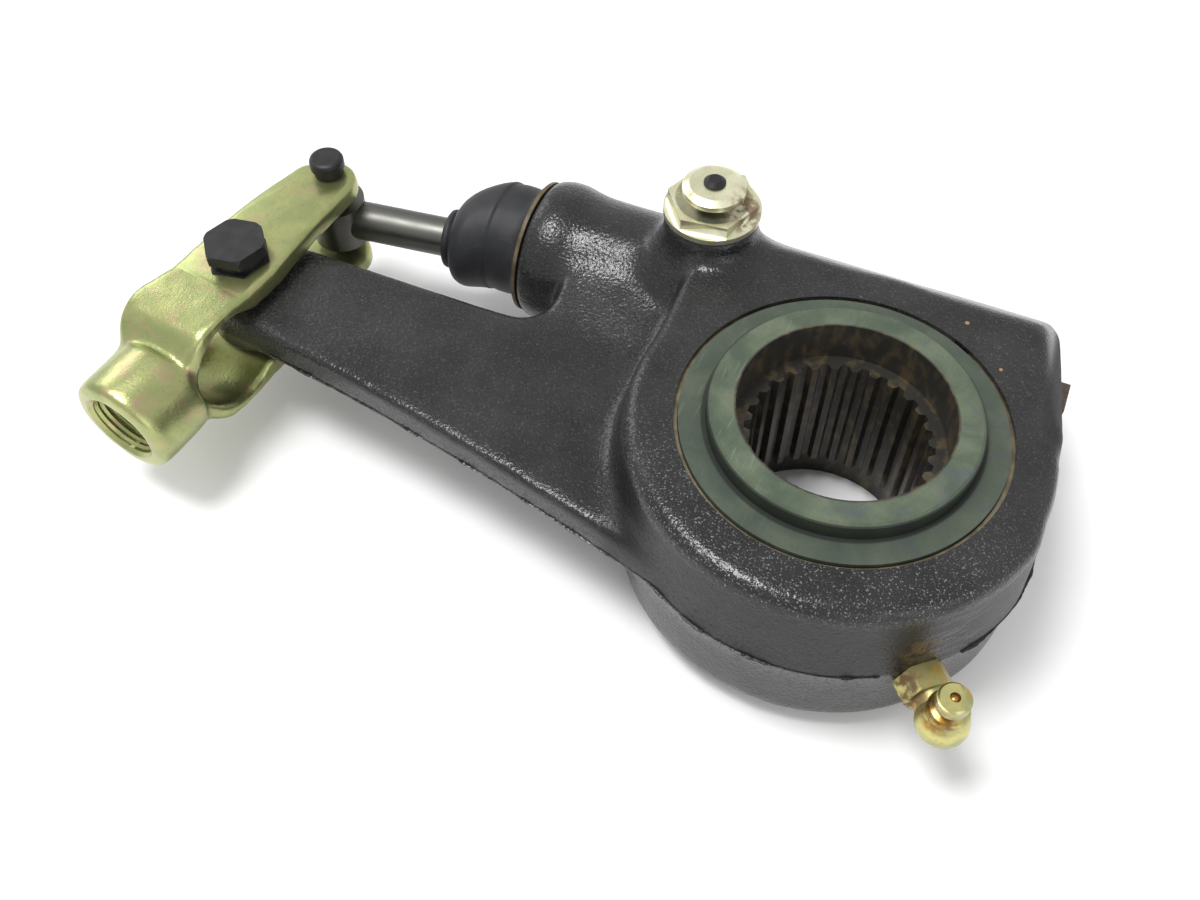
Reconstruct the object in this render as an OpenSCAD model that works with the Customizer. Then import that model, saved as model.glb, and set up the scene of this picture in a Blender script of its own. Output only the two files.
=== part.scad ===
// Automatic slack adjuster for an S-cam air brake.
// A splined worm gear turns the camshaft, a worm holds and sets it, and a ratchet on the worm's shaft is
// driven by a rod from the clevis. Origin on the gear axis at the housing's parting plane, +Z towards the
// retaining ring, +X along the worm, -X towards the clevis.

/* [Arm] */
// Distance from the gear axis to the large clevis pin
arm_length = 139.7; // [125:0.1:155]
// Angle by which the large pin lies below the X axis
arm_drop = 1.35; // [0:0.05:3]
// Thickness of the arm
arm_t = 14.8; // [12:0.1:15.2]
// Distance of the arm's straight edge from the gear axis
arm_edge_y = 11.5; // [10:0.1:13]
// Radius of the arm's rounded tip
arm_tip_r = 13.2; // [12:0.1:15]
// Radius of the long arc along the arm's other edge
arm_flare_r = 750; // [500:10:1500]
// Draft of the arm's side below the parting plane, in degrees
arm_draft = 26; // [5:1:30]
// Chamfer along the arm's upper edges
arm_chamfer = 1.2; // [0.5:0.1:2]
// Radius of the bushing in the arm's eye
bushing_r = 6.6; // [6.2:0.1:8]

/* [Housing] */
// Radius of the hub casting at its parting line
hub_r = 44.8; // [43.5:0.1:48]
// Thickness of the hub casting
hub_t = 42.6; // [40:0.1:46]
// Rounding of the hub's edges
hub_round = 3; // [1.5:0.1:4]
// Outer radius of the worm tube
tube_r = 16.4; // [15.8:0.1:18]
// Largest radius of the collar at the boot end of the tube
collar_r = 17.4; // [17:0.1:19]
// X of the tube's open end, where the boot sits
tube_open_x = -84.3; // [-88:0.1:-83.5]
// X of the closed end of the housing, past the worm
tube_closed_x = 36; // [35.5:0.1:39.5]
// Clear radius of the bore for the worm and the ratchet sleeve
tube_bore_r = 13.3; // [13.2:0.05:13.6]

/* [Gear] */
// Module of the worm gear
gear_module = 2.4; // [2.35:0.05:2.45]
// Number of gear teeth
gear_teeth = 24; // [22:1:24]
// Width of the toothed rim
gear_face_w = 20; // [18:0.1:21]
// Overall length of the gear along its axis
gear_len = 51; // [48:0.1:54]
// Radius of the counterbore at each end of the splined hole
pilot_r = 21.35; // [20.5:0.05:22]
// Depth of each counterbore
pilot_depth = 9.5; // [7:0.1:11]
// Number of splines for the camshaft
spline_count = 28; // [20:1:37]
// Radius at the bottom of the spline grooves
spline_major_r = 19.05; // [18.6:0.05:20]
// Depth of the spline grooves
spline_depth = 1.3; // [0.9:0.05:1.6]

/* [Gear cover] */
// Gap between the gear's tips and the opening that takes the gear and its thrust washer
chamber_gap = 2.1; // [1.8:0.1:2.8]
// Depth of that opening below the housing's face
chamber_depth = 35.3; // [34.8:0.1:36]
// Thickness of the thrust washer
washer_t = 6; // [5.5:0.1:6.6]
// Width of the thrust washer between its opening and the gear's ring
washer_w = 6.4; // [5.9:0.1:6.9]
// Thickness of the retaining ring
snap_t = 1.6; // [1.2:0.1:2]
// Depth of the retaining ring below the housing's face
snap_depth = 1.1; // [0.8:0.1:1.4]
// Section radius of the gear seals
seal_section_r = 1; // [0.8:0.05:1.1]

/* [Worm and ratchet] */
// Pitch radius of the worm
worm_pitch_r = 10.6; // [10.4:0.05:10.8]
// Length of the worm's thread
worm_len = 22; // [18:0.5:24]
// Clearance between worm and gear flanks, measured along the worm
backlash = 0.3; // [0.25:0.05:0.5]
// Width across the flats of the worm's adjusting square
adjust_square = 7.9; // [6:0.1:9.5]
// Length of the adjusting square past the housing
adjust_len = 5.5; // [3:0.1:8]
// Outer radius of the ratchet sleeve's helical teeth
sleeve_r = 12.9; // [12.6:0.05:13]
// Number of helical teeth on the ratchet sleeve
sleeve_teeth = 24; // [16:1:30]
// X of the sleeve's end next to the worm
sleeve_inner_x = -28; // [-30:0.1:-27.5]
// X of the sleeve's open end
sleeve_outer_x = -70; // [-71:0.1:-69.5]
// X of the pin that joins rod and piston
piston_pin_x = -62; // [-62.5:0.1:-61.5]
// Radius of the piston
piston_r = 8.5; // [8.2:0.05:8.8]
// Radius of the actuator rod
rod_r = 4.76; // [4.2:0.02:5]

/* [Pawl] */
// X of the pawl's axis
pawl_x = -42.4; // [-44:0.1:-42]
// Radius of the boss that takes the pawl plug
boss_r = 10.5; // [10.2:0.1:12]
// Z of the boss's top face
boss_top = 27; // [26:0.1:28.5]
// Width across the flats of the plug's hexagon
plug_af = 17.5; // [16:0.1:19]
// Height of the plug's hexagon
plug_hex_h = 2.6; // [2.2:0.1:4]
// Radius of the plug's threaded shank
plug_shank_r = 8; // [7.6:0.1:8.4]
// Radius of the pull button
button_r = 6.9; // [5.5:0.1:7.5]
// Thickness of the pull button
button_t = 2.4; // [1.4:0.1:3]
// Radius of the pawl's body
pawl_r = 5; // [4.5:0.1:5.4]
// Radius of the pawl's stem
stem_r = 2.4; // [2:0.05:2.8]

/* [Clevis] */
// Angle of the clevis from the X axis, in degrees
clevis_angle = 83; // [81:0.5:85]
// Distance between the two clevis pins
pin_spacing = 32.8; // [31.5:0.1:34]
// Width of the gap between the prongs
fork_gap = 17.4; // [16.6:0.1:18.4]
// Thickness of each prong
prong_t = 5.4; // [4.8:0.1:6]
// Half width of the prongs at the large pin
prong_half_w = 10; // [9:0.1:11]
// Half width of the clevis at its yoke
yoke_half_w = 11.4; // [10.8:0.1:12.4]
// Distance by which the yoke lies beside the large pin
yoke_shift = 1.8; // [0:0.1:2]
// Outer radius of the yoke's bend
yoke_r = 15.6; // [15:0.1:16.4]
// Inner radius of the yoke's bend
arch_r = 11.6; // [10.8:0.1:12]
// Radius of the prongs' ends at the small pin
prong_end_r = 7.1; // [7:0.1:8.5]
// Distance by which the prongs' ends lie beside the small pin
prong_shift = 0.8; // [0:0.1:2]
// Distance from the large pin to the centre of the yoke's bend
yoke_bend = 16; // [15.5:0.1:18]
// Distance from the large pin to the end of the threaded boss
boss_reach = 44.7; // [41:0.1:48]
// Radius of the threaded boss
clevis_boss_r = 12.2; // [11.5:0.1:14]
// Radius of the hole for the push rod's thread
rod_thread_r = 7.2; // [6.5:0.05:8]
// Radius of the large pin
large_pin_r = 4.76; // [4:0.02:5.4]
// Width across the flats of the large pin's head
large_head_af = 12.9; // [11.5:0.1:14.5]
// Radius of the small pin
small_pin_r = 3.18; // [2.8:0.02:3.6]
// Radius of the small pin's head
small_head_r = 4.1; // [3.8:0.1:5]

/* [Boot and grease fitting] */
// Radius of the boot's body
boot_r = 13.5; // [13:0.1:14.5]
// Wall of the boot
boot_wall = 1.8; // [1.2:0.1:2.4]
// Length of the boot from the housing to its neck
boot_len = 19.4; // [18:0.1:23]
// Angle of the grease fitting round the hub, in degrees from +X
grease_angle = -49; // [-60:1:-40]
// Height of the grease fitting against the parting plane
grease_z = -3; // [-6:0.5:0]

/* [Clearances] */
// Radial clearance of running fits
run_gap = 0.05; // [0.03:0.01:0.08]
// Clearance between faces of pieces that move
side_gap = 0.2; // [0.1:0.05:0.3]

/* [Hidden] */
$fn = 64;

black_paint = "#2a2a2c";
phosphate = "#5f7263";
dark_steel = "#3c3c3f";
yellow_zinc = "#b9b573";
rubber = "#1d1d1f";

// Worm set
pressure = 20;
gear_pitch_r = gear_module * gear_teeth / 2;
gear_tip_r = gear_pitch_r + gear_module;
gear_root_r = gear_pitch_r - 1.2 * gear_module;
chamber_r = gear_tip_r + chamber_gap;
worm_y = gear_pitch_r + worm_pitch_r;
worm_tip_r = worm_pitch_r + gear_module;
worm_root_r = worm_pitch_r - 1.2 * gear_module;
worm_lead = PI * gear_module;
lead_angle = atan(worm_lead / (2 * PI * worm_pitch_r));
worm_steps = 24;
worm_slices_per_turn = 16;
rim_r = gear_pitch_r + 1.2;
journal_r = chamber_r - washer_w;
ring_chamfer = 0.8;

// Housing heights
face_z = hub_t / 2;
floor_z = face_z - chamber_depth;
washer_bottom = face_z - washer_t;
snap_top = face_z - snap_depth;
snap_in_r = chamber_r - 0.85;
snap_out_r = chamber_r + 0.9;
seal_out_r = journal_r + 2 * seal_section_r + 0.15;

// Worm shaft, from the closed end to the splined end
worm_shoulder_x = tube_closed_x - 12.5;
worm_flange_x = 18.5;
worm_flange_t = 5.5;
stub_r = 7;
seal_pocket_r = 9.5;
seal_pocket_l = 2.5;
drive_count = 12;
drive_r = 7.4;
drive_depth = 1;
shaft_l = 18.5;
shaft_end_x = sleeve_inner_x - shaft_l;
spline_end_x = shaft_end_x - 2.5;
piston_bore_r = piston_r + 0.1;
piston_inner_x = spline_end_x - 1.8;
piston_lip = 4.5;
piston_outer_x = piston_pin_x - piston_lip;
piston_cavity_r = rod_r + 1.95;
piston_pin_r = 2;
ring_t = 1.2;
ring_x = piston_outer_x - side_gap - ring_t;
ring_in_r = rod_r + 2.55;

// Pins, with the rod's line from the small pin to the piston pin
large_pin_pos = [-arm_length * cos(arm_drop), -arm_length * sin(arm_drop)];
small_pin_pos = large_pin_pos + pin_spacing * [cos(clevis_angle), sin(clevis_angle)];
piston_pin_pos = [piston_pin_x, worm_y];
rod_vec = piston_pin_pos - small_pin_pos;
rod_len = norm(rod_vec);
rod_angle = atan2(rod_vec.y, rod_vec.x);
rod_eye_r = small_pin_r + 3.8;
rod_eye_t = fork_gap - 6;
fork_z = fork_gap / 2;
prong_z = fork_z + prong_t;
clip_t = 1;
clip_z = prong_z + side_gap;
pin_tail = 3.2;

// Arm outline
tip_centre = [large_pin_pos.x, arm_edge_y - arm_tip_r];
arm_z = arm_t / 2;
web_x = tube_open_x + 12;
web_fillet = 7;
flare_bite = 2;

// Pawl heights
pawl_seat_z = 18.2;
gasket_t = 0.4;
plug_flange_t = 1.2;
plug_flange_r = boss_r + 0.2;
plug_hex_z = boss_top + gasket_t + plug_flange_t;
plug_top_z = plug_hex_z + plug_hex_h;
plug_cavity_r = pawl_r + 1;
plug_cavity_top = plug_hex_z + 0.8;
button_z = plug_top_z + 1.6;
stem_top_z = button_z + button_t + 1.2;
pawl_collar_z = pawl_seat_z + side_gap;
pawl_collar_t = 1.2;

// Boot
neck_x = tube_open_x - boot_len;
neck_r = rod_r + 2.5;
boot_flange_r = tube_r - 1.2;
boot_flange_t = 1.8;
boot_ring_w = 0.9;

// Grease fitting
grease_hex_af = 9.6;
grease_hex_l = 4.8;
grease_shank_r = grease_hex_af / 2 - 1.6;
grease_seat = hub_r - 0.6;
grease_reach = 10;
grease_ball_r = 1.2;
grease_mouth_r = 1;
grease_bore_r = grease_ball_r + 0.1;
grease_stand = 10.5;
grease_mouth_l = 0.7;
elbow_r = 5.2;
ball_drop = grease_mouth_l + sqrt(pow(grease_ball_r, 2) - pow(grease_mouth_r, 2)) + run_gap;

// Y of the rod's axis at an X
function rod_y(x) = small_pin_pos.y + (x - small_pin_pos.x) * tan(rod_angle);

// Point at a radius and an angle
function polar(r, a) = r * [cos(a), sin(a)];

// Involute function of an angle in degrees
function inv(a) = tan(a) - a * PI / 180;

// Half thickness of a gear tooth at a radius
function tooth_half(r) =
    let (base_r = gear_pitch_r * cos(pressure), a = acos(min(1, base_r / r)))
    r * (PI / (2 * gear_teeth) + inv(pressure) - inv(a));

// Radius of the worm's section at an axial distance from the middle of its thread
function thread_r(s) =
    let (half = PI * gear_module / 4 - backlash / 2)
    min(worm_tip_r, max(worm_root_r, worm_pitch_r + (half - abs(s)) / tan(pressure)));

// Outline of a toothed ring: each tooth rises from r_in to r_out, with half angles as shares of its pitch
function toothed(count, r_in, r_out, in_share, out_share) =
    [for (i = [0 : count - 1], c = [[r_in, -in_share], [r_out, -out_share], [r_out, out_share], [r_in, in_share]])
        polar(c[0], (i + c[1]) * 360 / count)];

// Centre of a circle that touches two other circles from outside, on the right of the line from a to b
function outer_tangent(a, ra, b, rb, r) =
    let (d = norm(b - a), u = (b - a) / d, la = ra + r, lb = rb + r,
         along = (d * d + la * la - lb * lb) / (2 * d), off = sqrt(la * la - along * along))
    a + along * u + off * [-u.y, u.x];

flare_centre = outer_tangent([0, 0], hub_r - flare_bite, tip_centre, arm_tip_r, arm_flare_r);

// Places children on the worm axis with their Z along +X
module on_worm(x) {
    translate([x, worm_y, 0]) rotate([0, 90, 0]) children();
}

// Places children at the large pin with their Y along the clevis
module on_clevis() {
    translate([large_pin_pos.x, large_pin_pos.y, 0]) rotate(clevis_angle - 90) children();
}

// Places children at the small pin with their X along the rod
module on_rod() {
    translate([small_pin_pos.x, small_pin_pos.y, 0]) rotate(rod_angle) children();
}

// Places children on the pawl's axis
module on_pawl(z) {
    translate([pawl_x, worm_y, z]) children();
}

// Places children at the hub's side with their Z pointing outwards
module on_grease(r) {
    rotate(grease_angle) translate([r, 0, grease_z]) rotate([0, 90, 0]) children();
}

// A flat ring
module ring(r_out, r_in, h) {
    difference() {
        cylinder(h = h, r = r_out);
        translate([0, 0, -1]) cylinder(h = h + 2, r = r_in);
    }
}

// A hexagonal prism with the given width across its flats
module hexagon(af, h) {
    cylinder(h = h, r = af / sqrt(3), $fn = 6);
}

// A round ring of circular section
module o_ring(r, section_r) {
    rotate_extrude() translate([r, 0]) circle(section_r, $fn = 24);
}

// A coil spring, swept along a helix with flattened ends
module coil(r, wire_r, h, turns) {
    sides = 8;
    steps = 14 * turns;
    rise = h - 2 * wire_r;
    points = [for (i = [0 : steps], k = [0 : sides - 1])
        let (a = 360 * turns * i / steps, b = 360 * k / sides, rr = r + wire_r * cos(b))
        [rr * cos(a), rr * sin(a), wire_r + rise * i / steps + wire_r * sin(b)]];
    walls = [for (i = [0 : steps - 1], k = [0 : sides - 1])
        let (n = (k + 1) % sides)
        [i * sides + k, (i + 1) * sides + k, (i + 1) * sides + n, i * sides + n]];
    first = [for (k = [0 : sides - 1]) k];
    last = [for (k = [sides - 1 : -1 : 0]) steps * sides + k];
    polyhedron(points, concat(walls, [first], [last]), convexity = 10);
}

// A spring clip: a flat ring with a mouth
module clip(r_out, r_in, t) {
    difference() {
        ring(r_out, r_in, t);
        translate([0, -r_in * 0.75, -1]) cube([r_out + 1, r_in * 1.5, t + 2]);
    }
}

// Hub of the casting, a drafted disc with rounded edges and a parting line
module hub_casting() {
    flash = 0.5;
    draft = 0.9;
    top_r = hub_r - flash - draft;
    corner = top_r - hub_round;
    upper = [for (a = [0 : 22.5 : 90]) [corner, face_z - hub_round] + polar(hub_round, a)];
    lower = [for (p = upper) [p.x, -p.y]];
    bead = [[hub_r - 1, -0.6], [hub_r, 0], [hub_r - flash, 0.8]];
    rotate_extrude($fn = 128)
        polygon(concat([[0, -face_z]], [for (i = [len(lower) - 1 : -1 : 0]) lower[i]], bead, upper, [[0, face_z]]));
}

// Head of the casting: a flat deck from the hub over to the worm, rounded along its far edge
module head_casting() {
    edge = 2.5;
    deck_r = 7;
    deck_y = worm_y - 1;
    deck_z = face_z + 0.05;
    far_r = tube_r + 0.6;
    wide = tube_closed_x - pawl_x;
    hull() {
        cylinder(h = 2 * deck_z, r = hub_r - 4.6, center = true, $fn = 60);
        cylinder(h = 2 * (face_z - hub_round), r = hub_r - 1.7, center = true, $fn = 60);
        for (z = [-1, 1])
            translate([pawl_x, deck_y, z * (deck_z - deck_r)]) rotate([0, 90, 0]) {
                cylinder(h = wide - 4.5, r = deck_r, $fn = 32);
                cylinder(h = wide - 2.7, r = deck_r - 2, $fn = 32);
            }
        on_worm(pawl_x - 0.3) cylinder(h = wide - edge, r = far_r, $fn = 48);
        on_worm(tube_closed_x - 1) cylinder(h = 1, r = far_r - edge, $fn = 48);
    }
}

// Outline of the arm and its web, drawn in by an inset on the arm's free edges
function arm_outline(inset) =
    let (fillet = [for (a = [0 : -15 : -90])
             [web_x - web_fillet, arm_edge_y + web_fillet] + polar(web_fillet + inset, a)],
         tip_end = 360 + atan2(flare_centre.y - tip_centre.y, flare_centre.x - tip_centre.x),
         tip = [for (i = [0 : 10]) tip_centre + polar(arm_tip_r - inset, 90 + (tip_end - 90) * i / 10)],
         flare_start = tip_end - 180,
         flare_end = atan2(-flare_centre.y, -flare_centre.x),
         flare = [for (i = [1 : 12])
             flare_centre + polar(arm_flare_r + inset, flare_start + (flare_end - flare_start) * i / 12)])
    concat([[-hub_r / 2, 0], [-hub_r / 2, worm_y], [web_x + inset, worm_y]], fillet, tip, flare);

// Arm of the casting: outlines at the foot, the parting plane, below the chamfer and at the top
module arm_casting() {
    levels = [[-arm_z, arm_z * tan(arm_draft)], [0, 0], [arm_z - arm_chamfer, 0.3], [arm_z, 0.3 + arm_chamfer]];
    count = len(arm_outline(0));
    points = [for (l = levels, p = arm_outline(l[1])) [p.x, p.y, l[0]]];
    walls = [for (i = [0 : len(levels) - 2], k = [0 : count - 1])
        let (n = (k + 1) % count)
        [i * count + k, (i + 1) * count + k, (i + 1) * count + n, i * count + n]];
    bottom = [for (k = [0 : count - 1]) k];
    top = [for (k = [count - 1 : -1 : 0]) (len(levels) - 1) * count + k];
    polyhedron(points, concat(walls, [bottom], [top]), convexity = 4);
}

// Eye at the arm's tip, round the bushing, which stands out of the drafted lower side
module arm_eye() {
    eye_r = bushing_r + 4;
    translate([large_pin_pos.x, large_pin_pos.y, -arm_z]) cylinder(h = arm_z + 1.5, r = eye_r);
}

// Tube of the casting with the collar that carries the boot
module tube_casting() {
    neck = tube_r - 0.4;
    back = pawl_x - tube_open_x;
    on_worm(tube_open_x) rotate_extrude()
        polygon([[0, 0], [collar_r - 1.5, 0], [collar_r - 0.4, 2], [collar_r, 5], [collar_r - 0.2, 7.5],
                 [neck + 0.4, 10.5], [neck, 13], [neck, back], [0, back]]);
}

// Slope from the worm tube and the hub down to the arm
module web_casting() {
    low = [web_x + 4, arm_edge_y + 1];
    hull() {
        on_worm(web_x) cylinder(h = 22, r = tube_r - 3.5, $fn = 32);
        translate([low.x, low.y, -arm_z]) cylinder(h = arm_t - 0.4, r = 2, $fn = 16);
        translate([-hub_r + 6, 6, -arm_z]) cylinder(h = arm_t - 0.6, r = 5, $fn = 16);
        on_pawl(-arm_z) cylinder(h = 20, r = 6, $fn = 32);
    }
}

// Fillet at the foot of the hub's wall, running out along the arm's edge
module hub_foot() {
    foot = 5;
    sink = 0.3;
    inner = hub_r - 2.5;
    base = arm_z / 4;
    top = arm_z - sink + foot;
    arc = [for (a = [270 : -15 : 180]) [inner + foot, top] + polar(foot, a)];
    intersection() {
        rotate(176) rotate_extrude(angle = 62, $fn = 96)
            polygon(concat([[inner - 2, base], [inner + foot, base]], arc, [[inner - 2, top]]));
        linear_extrude(4 * arm_t, center = true) polygon(arm_outline(arm_chamfer + 1));
    }
}

// Boss for the pawl's plug
module pawl_boss() {
    on_pawl(0) {
        cylinder(h = boss_top, r = boss_r);
        translate([0, 0, tube_r - 4]) cylinder(h = 8, r1 = boss_r + 5, r2 = boss_r);
    }
}

// Hollows of the housing
module housing_bores() {
    translate([0, 0, floor_z]) cylinder(h = chamber_depth + 1, r = chamber_r);
    translate([0, 0, snap_top - snap_t - 0.1]) cylinder(h = snap_t + 0.2, r = snap_out_r + 0.1);
    translate([0, 0, -face_z - 1]) cylinder(h = face_z + 2, r = journal_r + run_gap);
    translate([0, 0, (floor_z - face_z) / 2 - seal_section_r - 0.1])
        cylinder(h = 2 * seal_section_r + 0.2, r = seal_out_r + run_gap);
    on_worm(tube_open_x - 1) cylinder(h = worm_shoulder_x - tube_open_x + 1, r = tube_bore_r);
    on_worm(worm_shoulder_x - 1) cylinder(h = 20, r = stub_r + run_gap);
    on_worm(tube_closed_x - seal_pocket_l) cylinder(h = 20, r = seal_pocket_r);
    on_pawl(0) cylinder(h = boss_top, r = pawl_r + run_gap);
    on_pawl(pawl_seat_z) cylinder(h = boss_top, r = plug_shank_r + run_gap);
    translate([large_pin_pos.x, large_pin_pos.y, -arm_t]) cylinder(h = 2 * arm_t, r = bushing_r);
    on_grease(chamber_r - 2) cylinder(h = 20, r = grease_shank_r);
    on_grease(grease_seat) cylinder(h = 20, r = grease_hex_af / sqrt(3) + 0.6);
}

module housing() {
    color(black_paint) difference() {
        union() {
            hub_casting();
            head_casting();
            arm_casting();
            arm_eye();
            tube_casting();
            web_casting();
            hub_foot();
            pawl_boss();
        }
        housing_bores();
    }
}

module arm_bushing() {
    color("#8d7a4e") translate([large_pin_pos.x, large_pin_pos.y, -arm_z])
        ring(bushing_r, large_pin_r + run_gap, arm_t);
}

module gear_thrust_washer() {
    groove_z = washer_t / 2 - seal_section_r - 0.1;
    color(phosphate) translate([0, 0, washer_bottom]) difference() {
        union() {
            cylinder(h = washer_t - snap_depth - snap_t - 0.1, r = chamber_r - run_gap);
            cylinder(h = washer_t, r = snap_in_r - 0.1);
        }
        translate([0, 0, -1]) cylinder(h = washer_t + 2, r = journal_r + run_gap);
        translate([0, 0, groove_z]) cylinder(h = 2 * seal_section_r + 0.2, r = seal_out_r + run_gap);
    }
}

module gear_retaining_ring() {
    color("#b8b29a") translate([0, 0, snap_top - snap_t]) difference() {
        ring(snap_out_r, snap_in_r, snap_t);
        rotate(60) translate([0, -2, -1]) cube([2 * chamber_r, 4, snap_t + 2]);
    }
}

module front_gear_seal() {
    color(rubber) translate([0, 0, washer_bottom + washer_t / 2])
        o_ring(seal_out_r - seal_section_r, seal_section_r);
}

module rear_gear_seal() {
    color(rubber) translate([0, 0, (floor_z - face_z) / 2])
        o_ring(seal_out_r - seal_section_r, seal_section_r);
}

module worm_seal() {
    color(rubber) on_worm(tube_closed_x - seal_pocket_l)
        ring(seal_pocket_r, stub_r + 0.1, seal_pocket_l - 0.3);
}

// Teeth of the gear, tilted to follow the worm's thread
module gear_rim() {
    radii = [gear_root_r - 1, gear_pitch_r * cos(pressure), gear_pitch_r - 0.4, gear_pitch_r + 0.9, gear_tip_r];
    right = [for (r = radii) [r, -tooth_half(r)]];
    left = [for (i = [len(radii) - 1 : -1 : 0]) [radii[i], tooth_half(radii[i])]];
    intersection() {
        for (i = [0 : gear_teeth - 1])
            rotate(90 + (i + 0.5) * 360 / gear_teeth) rotate([-lead_angle, 0, 0])
                linear_extrude(gear_face_w + 4, center = true) polygon(concat(right, left));
        cylinder(h = gear_face_w, r = gear_tip_r, center = true);
    }
}

module worm_gear() {
    shoulder_top = washer_bottom - side_gap;
    shoulder_bottom = floor_z + side_gap;
    color(phosphate) difference() {
        union() {
            gear_rim();
            cylinder(h = gear_face_w, r = gear_root_r, center = true);
            for (s = [-1, 1]) scale([1, 1, s]) {
                translate([0, 0, gear_face_w / 2])
                    cylinder(h = (gear_len - gear_face_w) / 2 - ring_chamfer, r = journal_r);
                translate([0, 0, gear_len / 2 - ring_chamfer])
                    cylinder(h = ring_chamfer, r1 = journal_r, r2 = journal_r - ring_chamfer);
            }
            translate([0, 0, gear_face_w / 2]) cylinder(h = shoulder_top - gear_face_w / 2, r = rim_r);
            translate([0, 0, shoulder_bottom]) cylinder(h = -gear_face_w / 2 - shoulder_bottom, r = rim_r);
        }
        linear_extrude(gear_len + 2, center = true)
            polygon(toothed(spline_count, spline_major_r - spline_depth, spline_major_r, 0.33, 0.17));
        for (s = [-1, 1]) scale([1, 1, s])
            translate([0, 0, gear_len / 2 - pilot_depth]) cylinder(h = pilot_depth + 1, r = pilot_r);
    }
}

// Thread of the worm, with its crest facing the gear at the middle
module worm_thread() {
    start = 90 - 180 * worm_len / worm_lead;
    turns = worm_len / worm_lead;
    section = [for (k = [0 : worm_steps - 1])
        let (a = 360 * k / worm_steps, s = (a > 180 ? a - 360 : a) / 360 * worm_lead)
        polar(thread_r(s), a + start + 180)];
    on_worm(-worm_len / 2)
        linear_extrude(worm_len, twist = -360 * turns, slices = ceil(worm_slices_per_turn * turns))
            polygon(section);
}

module worm() {
    flange_r = tube_bore_r - run_gap;
    shoulder = worm_shoulder_x - side_gap;
    color(dark_steel) union() {
        worm_thread();
        on_worm(-worm_flange_x - worm_flange_t) cylinder(h = worm_flange_t, r = flange_r);
        on_worm(-worm_flange_x) cylinder(h = worm_flange_x - worm_len / 2 + 0.5, r = worm_root_r - 0.3);
        on_worm(worm_len / 2 - 0.5) cylinder(h = worm_flange_x - worm_len / 2 + 0.5, r = worm_root_r - 0.3);
        on_worm(worm_flange_x) cylinder(h = shoulder - worm_flange_x, r = flange_r);
        on_worm(shoulder) cylinder(h = tube_closed_x - shoulder, r = stub_r);
        on_worm(tube_closed_x) translate([-adjust_square / 2, -adjust_square / 2, 0])
            cube([adjust_square, adjust_square, adjust_len]);
        on_worm(shaft_end_x) linear_extrude(-worm_flange_x - worm_flange_t - shaft_end_x)
            polygon(toothed(drive_count, drive_r - drive_depth, drive_r, 0.3, 0.18));
    }
}

// Sleeve with helical ratchet teeth outside and straight splines inside, sliding on the worm's shaft
module ratchet_sleeve() {
    sleeve_len = sleeve_inner_x - sleeve_outer_x;
    tooth_depth = 1.3;
    twist = 150;
    gap = 0.15;
    color("#6b6a66") difference() {
        on_worm(sleeve_outer_x) linear_extrude(sleeve_len, twist = twist, slices = 16)
            polygon(toothed(sleeve_teeth, sleeve_r - tooth_depth, sleeve_r, 0.38, 0.14));
        on_worm(spline_end_x) linear_extrude(sleeve_len)
            polygon(toothed(drive_count, drive_r - drive_depth + gap, drive_r + gap, 0.34, 0.22));
        on_worm(sleeve_outer_x - 1) cylinder(h = spline_end_x - sleeve_outer_x + 1, r = piston_bore_r);
        on_worm(ring_x - 0.1) cylinder(h = ring_t + 0.2, r = piston_bore_r + 1);
    }
}

module piston_ring() {
    color("#8c8a84") on_worm(ring_x) clip(piston_bore_r + 0.9, ring_in_r, ring_t);
}

module piston() {
    pin_hole = piston_pin_r + 0.03;
    color("#77756f") difference() {
        on_worm(piston_outer_x) cylinder(h = piston_inner_x - piston_outer_x, r = piston_r);
        on_worm(piston_outer_x - 1) cylinder(h = piston_inner_x - piston_lip - piston_outer_x + 1, r = piston_cavity_r);
        translate([piston_pin_x, worm_y, -piston_r - 1]) cylinder(h = 2 * piston_r + 2, r = pin_hole);
    }
}

module piston_pin() {
    half = piston_r - 0.7;
    color("#9a9892") translate([piston_pin_x, worm_y, -half]) cylinder(h = 2 * half, r = piston_pin_r);
}

// Rod with an eye on the small pin and a slotted round end on the piston pin
module actuator_rod() {
    slot = 1.1;
    slot_r = piston_pin_r + 0.35;
    color(dark_steel) on_rod() difference() {
        union() {
            translate([0, 0, -rod_eye_t / 2]) cylinder(h = rod_eye_t, r = rod_eye_r);
            rotate([0, 90, 0]) cylinder(h = rod_len, r = rod_r);
            translate([rod_len, 0, 0]) sphere(rod_r);
        }
        translate([0, 0, -rod_eye_t]) cylinder(h = 2 * rod_eye_t, r = small_pin_r + run_gap);
        for (s = [-1, 1])
            translate([rod_len, s * slot, -rod_r - 1]) cylinder(h = 2 * rod_r + 2, r = slot_r);
        translate([rod_len - slot_r, -slot, -rod_r - 1]) cube([2 * slot_r, 2 * slot, 2 * rod_r + 2]);
    }
}

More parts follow.
